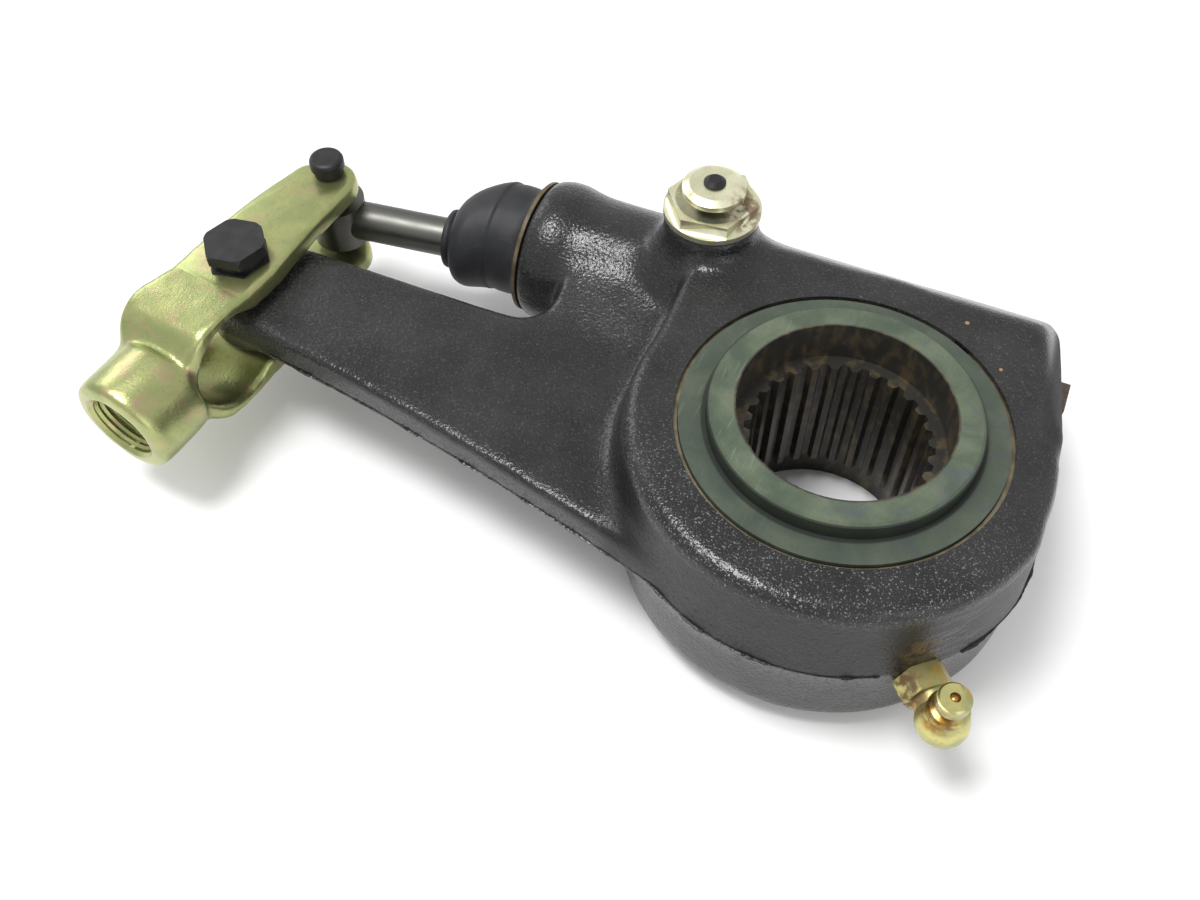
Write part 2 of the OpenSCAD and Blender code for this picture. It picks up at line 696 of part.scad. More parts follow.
module boot() {
    base_x = tube_open_x - boot_flange_t;
    body_x = base_x - 8;
    neck_from = (neck_x - small_pin_pos.x) / cos(rod_angle);
    neck_l = 3;
    inner = boot_r - boot_wall;
    color(rubber) difference() {
        union() {
            on_worm(base_x) cylinder(h = boot_flange_t - 0.05, r = boot_flange_r);
            hull() {
                on_worm(body_x) cylinder(h = base_x - body_x + 0.5, r = boot_r, $fn = 48);
                translate([body_x - 5, (worm_y + rod_y(body_x - 5)) / 2 + 0.8, 0]) rotate([0, 90, 3])
                    cylinder(h = 2, r = boot_r - 1.1, $fn = 48);
                translate([body_x - 8.6, (worm_y + 2 * rod_y(body_x - 8.6)) / 3 + 0.3, 0]) rotate([0, 90, 6])
                    cylinder(h = 1, r = boot_r - 3.1, $fn = 48);
                on_rod() translate([neck_from - 0.4, 0, 0]) rotate([0, 90, 0])
                    cylinder(h = 1.5, r = neck_r + 1.4, $fn = 48);
            }
            on_rod() translate([neck_from - neck_l, 0, 0]) rotate([0, 90, 0]) rotate_extrude()
                polygon([[0, 0], [neck_r - 0.7, 0], [neck_r, 0.7], [neck_r, 1.7], [neck_r - 0.5, 2],
                         [neck_r - 0.5, 2.3], [neck_r, 2.6], [neck_r, neck_l + 2], [0, neck_l + 2]]);
        }
        hull() {
            on_worm(body_x) cylinder(h = base_x - body_x + boot_flange_t + 1, r = inner, $fn = 48);
            on_rod() translate([neck_from + boot_wall + 0.6, 0, 0]) rotate([0, 90, 0])
                cylinder(h = 2, r = neck_r, $fn = 48);
        }
        on_rod() rotate([0, 90, 0]) cylinder(h = rod_len, r = rod_r + side_gap + 0.1);
    }
}

module boot_ring() {
    color("#a99b78") on_worm(tube_open_x - boot_ring_w)
        ring(boot_flange_r + 0.7, boot_flange_r + 0.05, boot_ring_w - 0.05);
}

module pawl_plug() {
    color("#c9c38d") difference() {
        union() {
            on_pawl(pawl_seat_z + 1) cylinder(h = boss_top - pawl_seat_z, r = plug_shank_r);
            on_pawl(boss_top + gasket_t) cylinder(h = plug_flange_t, r = plug_flange_r);
            on_pawl(plug_hex_z) intersection() {
                rotate(7) hexagon(plug_af, plug_hex_h);
                cylinder(h = plug_hex_h, r1 = plug_af * 0.5 + 3, r2 = plug_af * 0.5 + 0.7);
            }
        }
        on_pawl(pawl_seat_z) cylinder(h = plug_cavity_top - pawl_seat_z, r = plug_cavity_r);
        on_pawl(pawl_seat_z) cylinder(h = plug_top_z, r = stem_r + run_gap);
    }
}

module pawl_gasket() {
    color("#6d5a3a") on_pawl(boss_top) ring(plug_flange_r - 0.3, plug_shank_r + 0.1, gasket_t);
}

module pawl_spring() {
    z0 = pawl_collar_z + pawl_collar_t;
    color("#a8a6a0") on_pawl(z0 + 0.05) coil(stem_r + 1.6, 0.45, plug_cavity_top - z0 - 0.1, 5);
}

// Pawl with a row of slanted teeth under its body and a stem through the plug
module pawl() {
    tip_z = tube_bore_r + 0.1;
    tooth = 1.1;
    color(dark_steel) difference() {
        union() {
            on_pawl(tip_z) cylinder(h = pawl_collar_z - tip_z + 0.5, r = pawl_r);
            on_pawl(pawl_collar_z) cylinder(h = pawl_collar_t, r = plug_cavity_r - 0.2);
            on_pawl(pawl_collar_z) cylinder(h = stem_top_z - stem_r / 3 - pawl_collar_z, r = stem_r);
            on_pawl(stem_top_z - stem_r / 3) cylinder(h = stem_r / 3, r1 = stem_r, r2 = stem_r * 0.6);
        }
        for (i = [-2 : 2])
            on_pawl(tip_z) rotate(15) translate([0, i * 2.1, 0]) rotate([45, 0, 0])
                cube([3 * pawl_r, tooth, tooth], center = true);
    }
}

module pull_button() {
    chamfer = 0.9;
    color("#d0cb9c") on_pawl(button_z) difference() {
        rotate_extrude() polygon([[0, 0], [button_r - 0.3, 0], [button_r, 0.3], [button_r, button_t - chamfer],
                                  [button_r - 1.6 * chamfer, button_t], [0, button_t]]);
        translate([0, 0, -1]) cylinder(h = button_t + 2, r = stem_r);
    }
}

// Elbow fitting: a hexagon at the hub, a round elbow and a nipple that points up
module grease_fitting() {
    nipple_base = 2.9;
    color("#c2bb86") difference() {
        union() {
            on_grease(chamber_r + 0.5) cylinder(h = grease_seat - chamber_r, r = grease_shank_r - 0.02);
            on_grease(grease_seat) rotate(30) hexagon(grease_hex_af, grease_hex_l);
            on_grease(grease_seat) cylinder(h = grease_reach, r = grease_hex_af / 2 - 0.9);
            on_grease(grease_seat + grease_reach) sphere(elbow_r);
            rotate(grease_angle) translate([grease_seat + grease_reach, 0, grease_z]) rotate_extrude()
                polygon([[0, 0], [nipple_base + 1.1, 0], [nipple_base + 1.1, 5.4], [nipple_base - 0.7, 6.2],
                         [nipple_base - 0.7, 7.2], [nipple_base + 0.2, 7.9], [nipple_base + 0.2, 8.8],
                         [nipple_base - 1.2, grease_stand], [0, grease_stand]]);
        }
        rotate(grease_angle) translate([grease_seat + grease_reach, 0, grease_z]) {
            cylinder(h = grease_stand - grease_mouth_l, r = grease_bore_r);
            cylinder(h = grease_stand + 1, r = grease_mouth_r);
        }
        on_grease(chamber_r) cylinder(h = grease_seat + grease_reach - chamber_r, r = grease_bore_r);
    }
}

// Places children in the nipple, above its elbow
module in_nipple(z) {
    rotate(grease_angle) translate([grease_seat + grease_reach, 0, grease_z + z]) children();
}

module grease_spring() {
    color("#a8a6a0") in_nipple(1.5)
        coil(0.85, 0.22, grease_stand - ball_drop - grease_ball_r - 1.6, 4);
}

module grease_ball() {
    color("#b08a50") in_nipple(grease_stand - ball_drop) sphere(grease_ball_r, $fn = 32);
}

// Fork of the clevis seen from the side: two prongs and a round bend
module fork_side(half, bend_r) {
    translate([-yoke_bend, -half]) square([yoke_bend + pin_spacing + 2 * prong_end_r, 2 * half]);
    translate([-yoke_bend, 0]) circle(bend_r);
}

// Outline of the clevis seen from above
module clevis_plan() {
    back = yoke_bend + yoke_r;
    corner = 7;
    end_y = pin_spacing - 2;
    near = yoke_half_w - yoke_shift;
    far = yoke_half_w + yoke_shift;
    near_side = [[near - corner, -back], [near, corner - back], [near, -yoke_bend], [prong_half_w, 0],
                 [prong_half_w - 1.7, pin_spacing / 2], [prong_shift + prong_end_r, end_y]];
    far_side = [[prong_shift - prong_end_r, end_y], [0.2 - prong_half_w, 8], [-prong_half_w - 0.9, 5 - yoke_bend],
                [1.2 - far, 1 - yoke_bend], [-far, -yoke_bend - 2], [-far, corner - back], [corner - far, -back]];
    polygon(concat(near_side, far_side));
    translate([prong_shift, end_y]) circle(prong_end_r);
    translate([near - corner, corner - back]) circle(corner);
    translate([corner - far, corner - back]) circle(corner);
}

module clevis() {
    back = yoke_bend + arch_r;
    boss_l = boss_reach - back - 2;
    edge = 0.8;
    color(yellow_zinc) on_clevis() difference() {
        union() {
            intersection() {
                rotate([90, 0, 90]) linear_extrude(4 * yoke_half_w, center = true) difference() {
                    fork_side(prong_z, yoke_r);
                    fork_side(fork_z, arch_r);
                }
                linear_extrude(4 * prong_z, center = true) clevis_plan();
            }
            translate([0, -back - 2, 0]) rotate([90, 0, 0]) rotate_extrude()
                polygon([[0, 0], [clevis_boss_r, 0], [clevis_boss_r, boss_l - edge],
                         [clevis_boss_r - edge, boss_l], [0, boss_l]]);
        }
        translate([0, -back + 4, 0]) rotate([90, 0, 0]) cylinder(h = boss_reach, r = rod_thread_r);
        cylinder(h = 4 * prong_z, r = large_pin_r + run_gap, center = true);
        translate([0, pin_spacing, 0]) cylinder(h = 4 * prong_z, r = small_pin_r + run_gap, center = true);
    }
}

// A headed pin with a groove for its clip, hanging from the prong's top face
module groove_pin(r) {
    difference() {
        translate([0, 0, -clip_z - pin_tail]) cylinder(h = clip_z + pin_tail + prong_z, r = r);
        translate([0, 0, -clip_z - clip_t - 0.1]) ring(2 * r, r - 0.8, clip_t + 0.2);
    }
}

module large_pin() {
    head = 5;
    color(rubber) on_clevis() difference() {
        union() {
            groove_pin(large_pin_r);
            translate([0, 0, prong_z + 0.05]) intersection() {
                rotate(17) hexagon(large_head_af, head);
                cylinder(h = head, r1 = large_head_af * 0.5 + 3, r2 = large_head_af * 0.5 + 0.5);
            }
            translate([0, 0, prong_z - 0.5]) cylinder(h = 1, r = large_pin_r);
        }
        translate([0, 0, prong_z + head - 0.7]) cylinder(h = 1, r1 = large_pin_r - 1.2, r2 = large_pin_r - 0.6);
    }
}

module large_pin_clip() {
    color("#6f6d68") on_clevis() translate([0, 0, -clip_z - clip_t])
        clip(large_pin_r + 3, large_pin_r - 0.75, clip_t);
}

module small_pin() {
    head = 4.6;
    neck = small_head_r - 0.6;
    color(rubber) on_clevis() translate([0, pin_spacing, 0]) {
        groove_pin(small_pin_r);
        translate([0, 0, prong_z - 0.5]) cylinder(h = 1, r = small_pin_r);
        translate([0, 0, prong_z + 0.05]) rotate_extrude()
            polygon([[0, 0], [neck, 0], [neck, 1.4], [small_head_r, 1.9], [small_head_r, head - 0.9],
                     [small_head_r - 0.3, head - 0.3], [small_head_r - 0.9, head], [0, head]]);
    }
}

module small_pin_clip() {
    color("#6f6d68") on_clevis() translate([0, pin_spacing, -clip_z - clip_t])
        clip(small_pin_r + 2.4, small_pin_r - 0.75, clip_t);
}

housing();
arm_bushing();
gear_thrust_washer();
gear_retaining_ring();
front_gear_seal();
rear_gear_seal();
worm_seal();
boot();
boot_ring();
pawl_plug();
pawl_gasket();
pawl_spring();
grease_fitting();
grease_spring();
grease_ball();
worm_gear();
worm();
ratchet_sleeve();
piston_ring();
piston();
piston_pin();
actuator_rod();
pawl();
pull_button();
clevis();
large_pin();
large_pin_clip();
small_pin();
small_pin_clip();
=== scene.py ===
import math

import bmesh
import bpy
import numpy as np
from mathutils import Matrix, Vector, noise


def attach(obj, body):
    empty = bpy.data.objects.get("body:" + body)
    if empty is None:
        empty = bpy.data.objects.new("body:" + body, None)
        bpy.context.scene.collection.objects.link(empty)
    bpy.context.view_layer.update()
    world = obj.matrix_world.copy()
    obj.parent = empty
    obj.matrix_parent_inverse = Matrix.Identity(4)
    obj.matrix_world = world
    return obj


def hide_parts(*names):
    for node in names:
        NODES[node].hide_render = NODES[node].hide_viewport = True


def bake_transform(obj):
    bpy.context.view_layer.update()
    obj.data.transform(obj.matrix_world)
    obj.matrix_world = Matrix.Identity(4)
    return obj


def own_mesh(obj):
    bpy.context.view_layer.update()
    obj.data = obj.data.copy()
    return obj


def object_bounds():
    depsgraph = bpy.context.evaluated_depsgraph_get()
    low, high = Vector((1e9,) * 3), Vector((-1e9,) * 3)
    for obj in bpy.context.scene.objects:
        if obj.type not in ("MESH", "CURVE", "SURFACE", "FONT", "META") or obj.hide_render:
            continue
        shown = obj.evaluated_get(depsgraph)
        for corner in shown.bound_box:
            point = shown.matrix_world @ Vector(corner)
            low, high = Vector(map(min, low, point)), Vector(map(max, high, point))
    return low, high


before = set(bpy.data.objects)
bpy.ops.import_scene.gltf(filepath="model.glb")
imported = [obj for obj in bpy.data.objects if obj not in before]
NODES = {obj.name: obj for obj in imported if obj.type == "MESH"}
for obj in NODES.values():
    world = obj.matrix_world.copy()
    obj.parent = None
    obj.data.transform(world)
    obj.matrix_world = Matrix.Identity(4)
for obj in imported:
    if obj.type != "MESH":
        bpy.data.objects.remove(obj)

CAD_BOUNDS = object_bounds()
MM = 0.001
DOWN_SAMPLE = 1

# Housing: hub, worm tube and pawl boss, in mm
GEAR_AXIS = (0.0, 0.0)
FACE_Z = 21.3
CHAMBER_R = 33.3
CHAMBER_FLOOR_Z = -14.0
REAR_BORE_R = 26.95
RING_GROOVE_R = 34.3
RING_GROOVE_Z = (18.5, 20.3)
SEAL_GROOVE_R = 29.1
SEAL_GROOVE_Z = (-18.75, -16.55)
WORM_Y = 39.4
TUBE_OPEN_X = -84.3
TUBE_CLOSED_X = 36.0
TUBE_BORE_R = 13.3
TUBE_BORE_END_X = 23.5
WORM_BORE_R = 7.05
WORM_BORE_X = 22.0
SEAL_POCKET_R = 9.5
SEAL_POCKET_X = 33.5
PAWL_AXIS = (-42.4, WORM_Y)
PAWL_BORE_R = 5.05
PAWL_BORE_TOP = 20.0
PLUG_BORE_R = 8.05
PLUG_BORE_Z = 18.2
BOSS_TOP = 27.0
ARM_Z = 7.4
EYE_R = 6.6
RUN_OUT = 8.0
BORE_OVERLAP = 1.0

# Hub's flattened side: where it starts and where it is full
FLAT_X = (30, 42)
FLAT_BACK_Y = (17, 8)
FLAT_FRONT_Y = (-14, -4)
FLAT_Z = (-3, 4)

# Machined places, which the parting line's flash leaves out
TUBE_SIDE_Y = 50
TUBE_MOUTH_X = -66
TUBE_MOUTH_Y = 20
ARM_END_X = -128
WORM_END_X = 33
WORM_END_Y = 26
SPOT_REACH = 8

# Grease fitting, on a spot face of the hub
GREASE_ANGLE = math.radians(-49)
GREASE_Z = -3.0
GREASE_SEAT = 44.2
GREASE_BORE_R = 3.2
GREASE_BORE_START = 31.3
SPOT_FACE_R = 6.14
SPOT_FACE_RUN = 20.0
NIPPLE_REACH = 10.0
NIPPLE_TOP = 10.5
NIPPLE_HEAD_R = 3.25
NIPPLE_HEAD_H = 2.8
NIPPLE_RIM_R = 2.75
NIPPLE_RIM_H = 0.5
NIPPLE_OVERLAP = 0.05
NIPPLE_BORE_R = 1.3
NIPPLE_BORE_GAP = 0.7
NIPPLE_MOUTH_R = 1.0
NIPPLE_MOUTH_RUN = 1.0

# Clevis and rod
LARGE_PIN = (-139.661, -3.291)
SMALL_PIN = (-135.664, 29.265)
CLEVIS_ANGLE = math.radians(83)
PIN_SPACING = 32.8
PRONG_Z = 14.1
PRONG_INSIDE_Z = 8.75
PRONG_START = -9.8
PRONG_SKIM = 0.08
LARGE_HOLE_R = 4.81
SMALL_HOLE_R = 3.23
LARGE_FILL_R = 5.3
SMALL_FILL_R = 3.7
HOLE_FILL_Z = 9.0
BOSS_REACH = 44.7
BOSS_FILL_R = 7.7
BOSS_FILL_START = -28.5
THREAD_HOLE_R = 7.9
THREAD_HOLE_START = -20.0
THREAD_MOUTH_R = 9.1
THREAD_MOUTH = (0.9, -0.3)
THREAD_INSET = 1.0
CLEVIS_RUN = 4.0
ROD_SLOPE = math.radians(7.834)

# Large pin's head, over the prong
COLLAR_R = 5.8
COLLAR_Z = (0.25, 2.3)
COLLAR_RUN_Z = (-2.0, 6.0)
HEAD_REACH = 14.0
DISH_FILL_R = 4.6
DISH_FILL_H = 1.6

# Pawl plug's hexagon
PLUG_FLATS = 17.5
PLUG_TURN = 7.0
PLUG_Z = (28.4, 31.2)
PLUG_CORE_R = 8.2
PLUG_CORE_Z = (20.0, 40.0)


class Wire:
    """A node's socket that takes part in arithmetic."""

    def __init__(self, tree, socket):
        self.tree = tree
        self.socket = socket

    def math(self, operation, *others):
        values = dict(enumerate((self, *others)))
        return add_node(self.tree, "ShaderNodeMath", {"operation": operation}, values)

    def __add__(self, other):
        return self.math("ADD", other)

    def __sub__(self, other):
        return self.math("SUBTRACT", other)

    def __rsub__(self, other):
        return self.math("MULTIPLY_ADD", -1.0, other)

    def __mul__(self, other):
        return self.math("MULTIPLY", other)

    def __truediv__(self, other):
        return self.math("DIVIDE", other)

    def __pow__(self, other):
        return self.math("POWER", other)

    __radd__ = __add__
    __rmul__ = __mul__

    def step(self, low, high):
        """Rises smoothly from 0 at low to 1 at high, or falls if high is the smaller."""
        return add_node(
            self.tree,
            "ShaderNodeMapRange",
            {"interpolation_type": "SMOOTHSTEP"},
            {"Value": self, "From Min": low, "From Max": high},
        )


def add_node(tree, kind, settings=None, values=None, out=0):
    """Adds a node, sets its settings, then its sockets' values or links, and gives one of its outputs."""
    node = tree.nodes.new(kind)
    for name, value in (settings or {}).items():
        setattr(node, name, value)
    for key, value in (values or {}).items():
        if isinstance(value, Wire):
            tree.links.new(value.socket, node.inputs[key])
        else:
            node.inputs[key].default_value = value
    return Wire(tree, node.outputs[out])


class Paint:
    """A material built on the object's coordinates; x, y and z are those in mm."""

    def __init__(self, name, **constants):
        self.material = bpy.data.materials.new(name)
        self.material.use_nodes = True
        self.tree = self.material.node_tree
        self.surface = self.tree.nodes["Principled BSDF"]
        self.place = self.add("ShaderNodeTexCoord", out="Object")
        self.x = self.along("X")
        self.y = self.along("Y")
        self.z = self.along("Z")
        for key, value in constants.items():
            self.put(key, value)

    def add(self, kind, settings=None, values=None, out=0):
        return add_node(self.tree, kind, settings, values, out)

    def along(self, axis):
        return self.add("ShaderNodeSeparateXYZ", values={"Vector": self.place}, out=axis) / MM

    def put(self, key, value):
        """Sets one socket of the surface, named with underscores for spaces."""
        socket = self.surface.inputs[key.replace("_", " ")]
        if isinstance(value, Wire):
            self.tree.links.new(value.socket, socket)
        else:
            socket.default_value = value

    def noise(self, size, detail=2.0, stretch=(1, 1, 1), shift=0.0, warp=0.0):
        """Noise whose grains are about size mm wide, longer along the axes that are stretched."""
        scale = [1 / (size * MM * s) for s in stretch]
        values = {"Vector": self.place, "Scale": scale, "Location": [shift, shift, shift]}
        at = self.add("ShaderNodeMapping", values=values)
        return self.add(
            "ShaderNodeTexNoise",
            values={"Vector": at, "Scale": 1.0, "Detail": detail, "Distortion": warp},
        )

    def mix(self, factor, first, second):
        settings = {"data_type": "RGBA"}
        values = {0: factor, 6: colour(first), 7: colour(second)}
        return self.add("ShaderNodeMix", settings, values, out=2)

    def bump(self, height, depth, strength=1.0):
        """Bumps of a height from 0 to 1, with the depth in mm."""
        values = {"Height": height, "Distance": depth * MM, "Strength": strength}
        self.put("Normal", self.add("ShaderNodeBump", values=values))

    def radius(self):
        """Distance from the gear's axis in mm."""
        return (self.x * self.x + self.y * self.y) ** 0.5

    def near(self, point, inner, outer):
        """1 within inner mm of a point in mm, falling to 0 at outer."""
        values = {0: self.place, 1: [c * MM for c in point]}
        gap = self.add("ShaderNodeVectorMath", {"operation": "DISTANCE"}, values, out="Value")
        return gap.step(outer * MM, inner * MM)


def colour(value):
    return value if isinstance(value, Wire) else (*value, 1.0)


# Colours of the finishes, with a painted glint and painted shade among them, linear red, green and blue
PAINT_BLACK = (0.010, 0.010, 0.0105)
PAINT_GREY = (0.019, 0.019, 0.020)
# painted glint: white specks that stand in for light glinting off the grainy black paint
PAINTED_GLINT_WHITE = (0.24, 0.24, 0.235)
# painted shade: near black for the hub's upper side wall, which stands in for the shade on it
PAINTED_WALL_SHADE = (0.001, 0.001, 0.001)
SCRAPED_PAINT = (0.085, 0.080, 0.092)
BROWN_GREASE = (0.090, 0.055, 0.018)
RUST_DOT = (0.30, 0.18, 0.07)
PHOSPHATE_DARK = (0.056, 0.078, 0.052)
PHOSPHATE_LIGHT = (0.112, 0.136, 0.090)
PHOSPHATE_VIOLET = (0.075, 0.080, 0.110)
PHOSPHATE_SCRATCH = (0.20, 0.23, 0.19)
PHOSPHATE_GRAIN = (0.03, 0.045, 0.03)
PHOSPHATE_LOW = (0.040, 0.049, 0.042)
# painted shade for the step beside the gear's raised ring, where its outer wall falls in shadow
GROOVE_PAINTED_SHADE = (0.010, 0.012, 0.010)
BORE_DARK = (0.042, 0.040, 0.035)
BORE_GREASE = (0.105, 0.082, 0.048)
ZINC_PIT = (0.12, 0.10, 0.06)
ZINC_RUST = (0.12, 0.045, 0.012)
AMBER_GREASE = (0.20, 0.085, 0.012)
RUBBER_DARK = (0.012, 0.0125, 0.0145)
RUBBER_LIGHT = (0.020, 0.0205, 0.023)
RUBBER_DUST = (0.12, 0.12, 0.12)
FLOOR_WHITE = (0.86, 0.86, 0.86, 1.0)

# Marks on the surfaces: a point in mm, with the radii where the mark is full and where it ends
SCRAPE = ((38, -33, 9), 5, 15)
GREASE_SEEP = ((30, -36, 7), 2, 8)
LEFT_DOT = ((16.2, 35.1, 21.3), 0.3, 0.6)
RIGHT_DOT = ((25.4, 25.3, 21.3), 0.25, 0.5)
NIPPLE_RUST = ((27.0, -38.5, -2.0), 3.0, 7.5)
NIPPLE_GREASE = ((34.2, -42.2, 2.6), 2.6, 5.4)
PLUG_RUST = ((-34.6, 38.0, 31.4), 2.5, 7.0)


# Materials
def casting_paint():
    p = Paint("casting_paint", Specular_IOR_Level=0.42)
    grain = p.noise(0.7)
    coarse = p.noise(2.4, shift=3.0)
    cloud = p.noise(14.0, 3.0, shift=5.0)
    pit = p.noise(0.62, 1.0, shift=9.0).step(0.60, 0.72)
    # Painted glints: white specks for the sparkle of light off the grainy paint, most of them on the lit
    # front of the hub deck
    lit_front_deck = p.z.step(16, 20) * p.y.step(-6, -34)
    painted_glint = p.noise(0.4, 1.0, shift=1.0).step(0.58, 0.76) * (0.08 + 0.14 * cloud + 0.6 * lit_front_deck)
    hub_edge = p.radius().step(42.0, 43.8) * p.x.step(-40, -34) * p.y.step(10, -6)
    # Painted shade: the hub's upper side wall is painted near black and made rougher, standing in for the
    # shade on it
    shaded_hub_wall = hub_edge * p.z.step(18.5, 16.5) * p.z.step(-1.2, 0.6)
    streak = p.noise(0.7, 2.0, (10, 10, 1), 4.0).step(0.48, 0.62) * p.near(*SCRAPE)
    grease = p.near(*GREASE_SEEP) * p.noise(2.0, 3.0, shift=4.0).step(0.42, 0.58)
    dots = p.near(*LEFT_DOT) + p.near(*RIGHT_DOT)
    worm_end = p.x.step(33.5, 36) * p.y.step(8, 14)
    base = p.mix(cloud.step(0.3, 0.7), PAINT_BLACK, PAINT_GREY)
    # Painted glints over the paint
    base = p.mix(painted_glint, base, PAINTED_GLINT_WHITE)
    # Painted shade on the hub's upper side wall
    base = p.mix(shaded_hub_wall * 0.9, base, PAINTED_WALL_SHADE)
    base = p.mix(streak * 0.8, base, SCRAPED_PAINT)
    base = p.mix(grease * 0.8, base, BROWN_GREASE)
    base = p.mix(dots, base, RUST_DOT)
    p.put("Base_Color", base)
    p.put("Roughness", 0.16 + 0.12 * cloud + 0.5 * worm_end + 0.2 * shaded_hub_wall)
    p.bump(0.6 * grain + 0.3 * coarse - 0.5 * pit, depth=0.28, strength=0.85)
    return p.material


def phosphate():
    """Greenish phosphate of the gear and its washer, with a dark, wet bore."""
    p = Paint("phosphate", Specular_IOR_Level=0.35)
    cloud = p.noise(9.0, 4.0, warp=0.6)
    fine = p.noise(0.5)
    violet = p.noise(6.0, 3.0, shift=7.0, warp=1.2).step(0.54, 0.7) * p.x.step(-8, 16)
    scratch = p.noise(0.55, 2.0, (1, 14, 14), 1.0).step(0.62, 0.72) * p.x.step(0, -20)
    washer = p.z.step(23.5, 22.0)
    # Painted shade in the step between the raised ring and the washer, where the ring's outer wall falls in
    # shadow
    shaded_groove = p.radius().step(26.5, 26.7) * p.radius().step(28.2, 27.6) * p.z.step(25.6, 25.0)
    bore = p.radius().step(21.9, 21.5)
    wet = p.noise(2.4, 3.0, (1, 1, 2), 4.0)
    face = p.mix(cloud.step(0.3, 0.7), PHOSPHATE_DARK, PHOSPHATE_LIGHT)
    face = p.mix(violet * 0.5, face, PHOSPHATE_VIOLET)
    face = p.mix(scratch * 0.4, face, PHOSPHATE_SCRATCH)
    face = p.mix(fine.step(0.5, 0.75) * 0.3, face, PHOSPHATE_GRAIN)
    face = p.mix(washer * 0.5, face, PHOSPHATE_LOW)
    # Painted shade in that step
    face = p.mix(shaded_groove * 0.8, face, GROOVE_PAINTED_SHADE)
    inside = p.mix(wet.step(0.45, 0.7), BORE_DARK, BORE_GREASE)
    p.put("Base_Color", p.mix(bore, face, inside))
    p.put("Metallic", 0.2 + 0.2 * bore)
    p.put("Roughness", 0.5 + 0.14 * cloud - bore * (0.30 - 0.1 * wet))
    p.bump(0.5 * fine + 0.5 * cloud, depth=0.05, strength=0.5)
    return p.material


def zinc(name, light, dark, blush, rust_at=None, grease_at=None, forged=0.0):
    """Passivated zinc with clouds of colour, and with rust, grease or a forged grain where it has them."""
    metallic = 0.9
    p = Paint(name, Metallic=metallic)
    cloud = p.noise(7.0, 3.0, warp=0.8)
    tint = p.noise(4.5, shift=6.0, warp=1.0)
    brush = p.noise(0.35, 2.0, (1, 9, 1), 2.0)
    pit = p.noise(0.6, shift=8.0).step(0.66, 0.74)
    grain = p.noise(0.45, shift=5.0)
    rough = 0.22 + 0.1 * brush + 0.08 * cloud
    base = p.mix(cloud.step(0.3, 0.7), light, dark)
    base = p.mix(tint.step(0.50, 0.72) * 0.8, base, blush)
    base = p.mix(pit * 0.5, base, ZINC_PIT)
    if rust_at:
        rust = p.near(*rust_at) * p.noise(2.0, 3.0, shift=3.0).step(0.36, 0.56)
        base = p.mix(rust * 0.85, base, ZINC_RUST)
        rough = rough + 0.2 * rust
        p.put("Metallic", metallic - 0.5 * rust)
    if grease_at:
        grease = p.near(*grease_at) * p.noise(1.6, 3.0, shift=7.0).step(0.30, 0.60)
        base = p.mix(grease * 0.85, base, AMBER_GREASE)
    if forged:
        scale = p.noise(0.9, 3.0, shift=2.5)
        grain = grain + scale * p.y.step(-13, -17) * forged
    p.put("Base_Color", base)
    p.put("Roughness", rough)
    p.bump(0.3 * brush + 0.7 * grain, depth=0.07, strength=0.5)
    return p.material


def plain_metal(name, light, dark, rough, metallic=1.0, streak=(1, 1, 1)):
    p = Paint(name, Metallic=metallic, Specular_IOR_Level=0.35)
    cloud = p.noise(3.0, 3.0, streak)
    fine = p.noise(0.4, 2.0, streak, 4.0)
    p.put("Base_Color", p.mix(cloud.step(0.3, 0.7), light, dark))
    p.put("Roughness", rough + 0.14 * fine)
    p.bump(fine, depth=0.03, strength=0.4)
    return p.material


def rubber():
    p = Paint("rubber", Specular_IOR_Level=0.35)
    cloud = p.noise(5.0, 3.0)
    fine = p.noise(0.5, shift=2.0)
    base = p.mix(cloud.step(0.3, 0.7), RUBBER_DARK, RUBBER_LIGHT)
    p.put("Base_Color", p.mix(fine.step(0.66, 0.78) * 0.4, base, RUBBER_DUST))
    p.put("Roughness", 0.44 + 0.18 * cloud)
    p.bump(fine, depth=0.04, strength=0.5)
    return p.material


CASTING = casting_paint()
PHOSPHATE = phosphate()
YELLOW_ZINC = zinc(
    "yellow_zinc",
    light=(0.41, 0.425, 0.185),
    dark=(0.31, 0.35, 0.148),
    blush=(0.43, 0.34, 0.20),
    forged=1.6,
)
PLUG_ZINC = zinc(
    "plug_zinc",
    light=(0.86, 0.85, 0.62),
    dark=(0.66, 0.66, 0.44),
    blush=(0.74, 0.66, 0.48),
    rust_at=PLUG_RUST,
)
NIPPLE_ZINC = zinc(
    "nipple_zinc",
    light=(0.60, 0.55, 0.22),
    dark=(0.36, 0.37, 0.19),
    blush=(0.58, 0.34, 0.06),
    rust_at=NIPPLE_RUST,
    grease_at=NIPPLE_GREASE,
)
BLACK_OXIDE = plain_metal("black_oxide", (0.011, 0.011, 0.012), (0.020, 0.020, 0.021), 0.40, 0.2)
GUNMETAL = plain_metal("gunmetal", (0.17, 0.165, 0.15), (0.13, 0.13, 0.12), 0.34, 1.0, (8, 3, 3))
WORM_STEEL = plain_metal("worm_steel", (0.16, 0.135, 0.11), (0.09, 0.075, 0.06), 0.35, 0.9)
SPRING_STEEL = plain_metal("spring_steel", (0.42, 0.40, 0.37), (0.30, 0.29, 0.27), 0.25)
RETAINER = plain_metal("retainer", (0.26, 0.22, 0.15), (0.13, 0.11, 0.07), 0.4, 0.7)
TAN_RING = plain_metal("tan_ring", (0.13, 0.10, 0.055), (0.06, 0.048, 0.028), 0.5, 0.2)
BRONZE = plain_metal("bronze", (0.45, 0.30, 0.12), (0.32, 0.20, 0.08), 0.35)
FIBRE = plain_metal("fibre", (0.10, 0.07, 0.04), (0.06, 0.04, 0.025), 0.7, 0.0)
AMBER_BALL = plain_metal("amber_ball", (0.42, 0.24, 0.08), (0.20, 0.10, 0.04), 0.25, 0.9)
RUBBER = rubber()

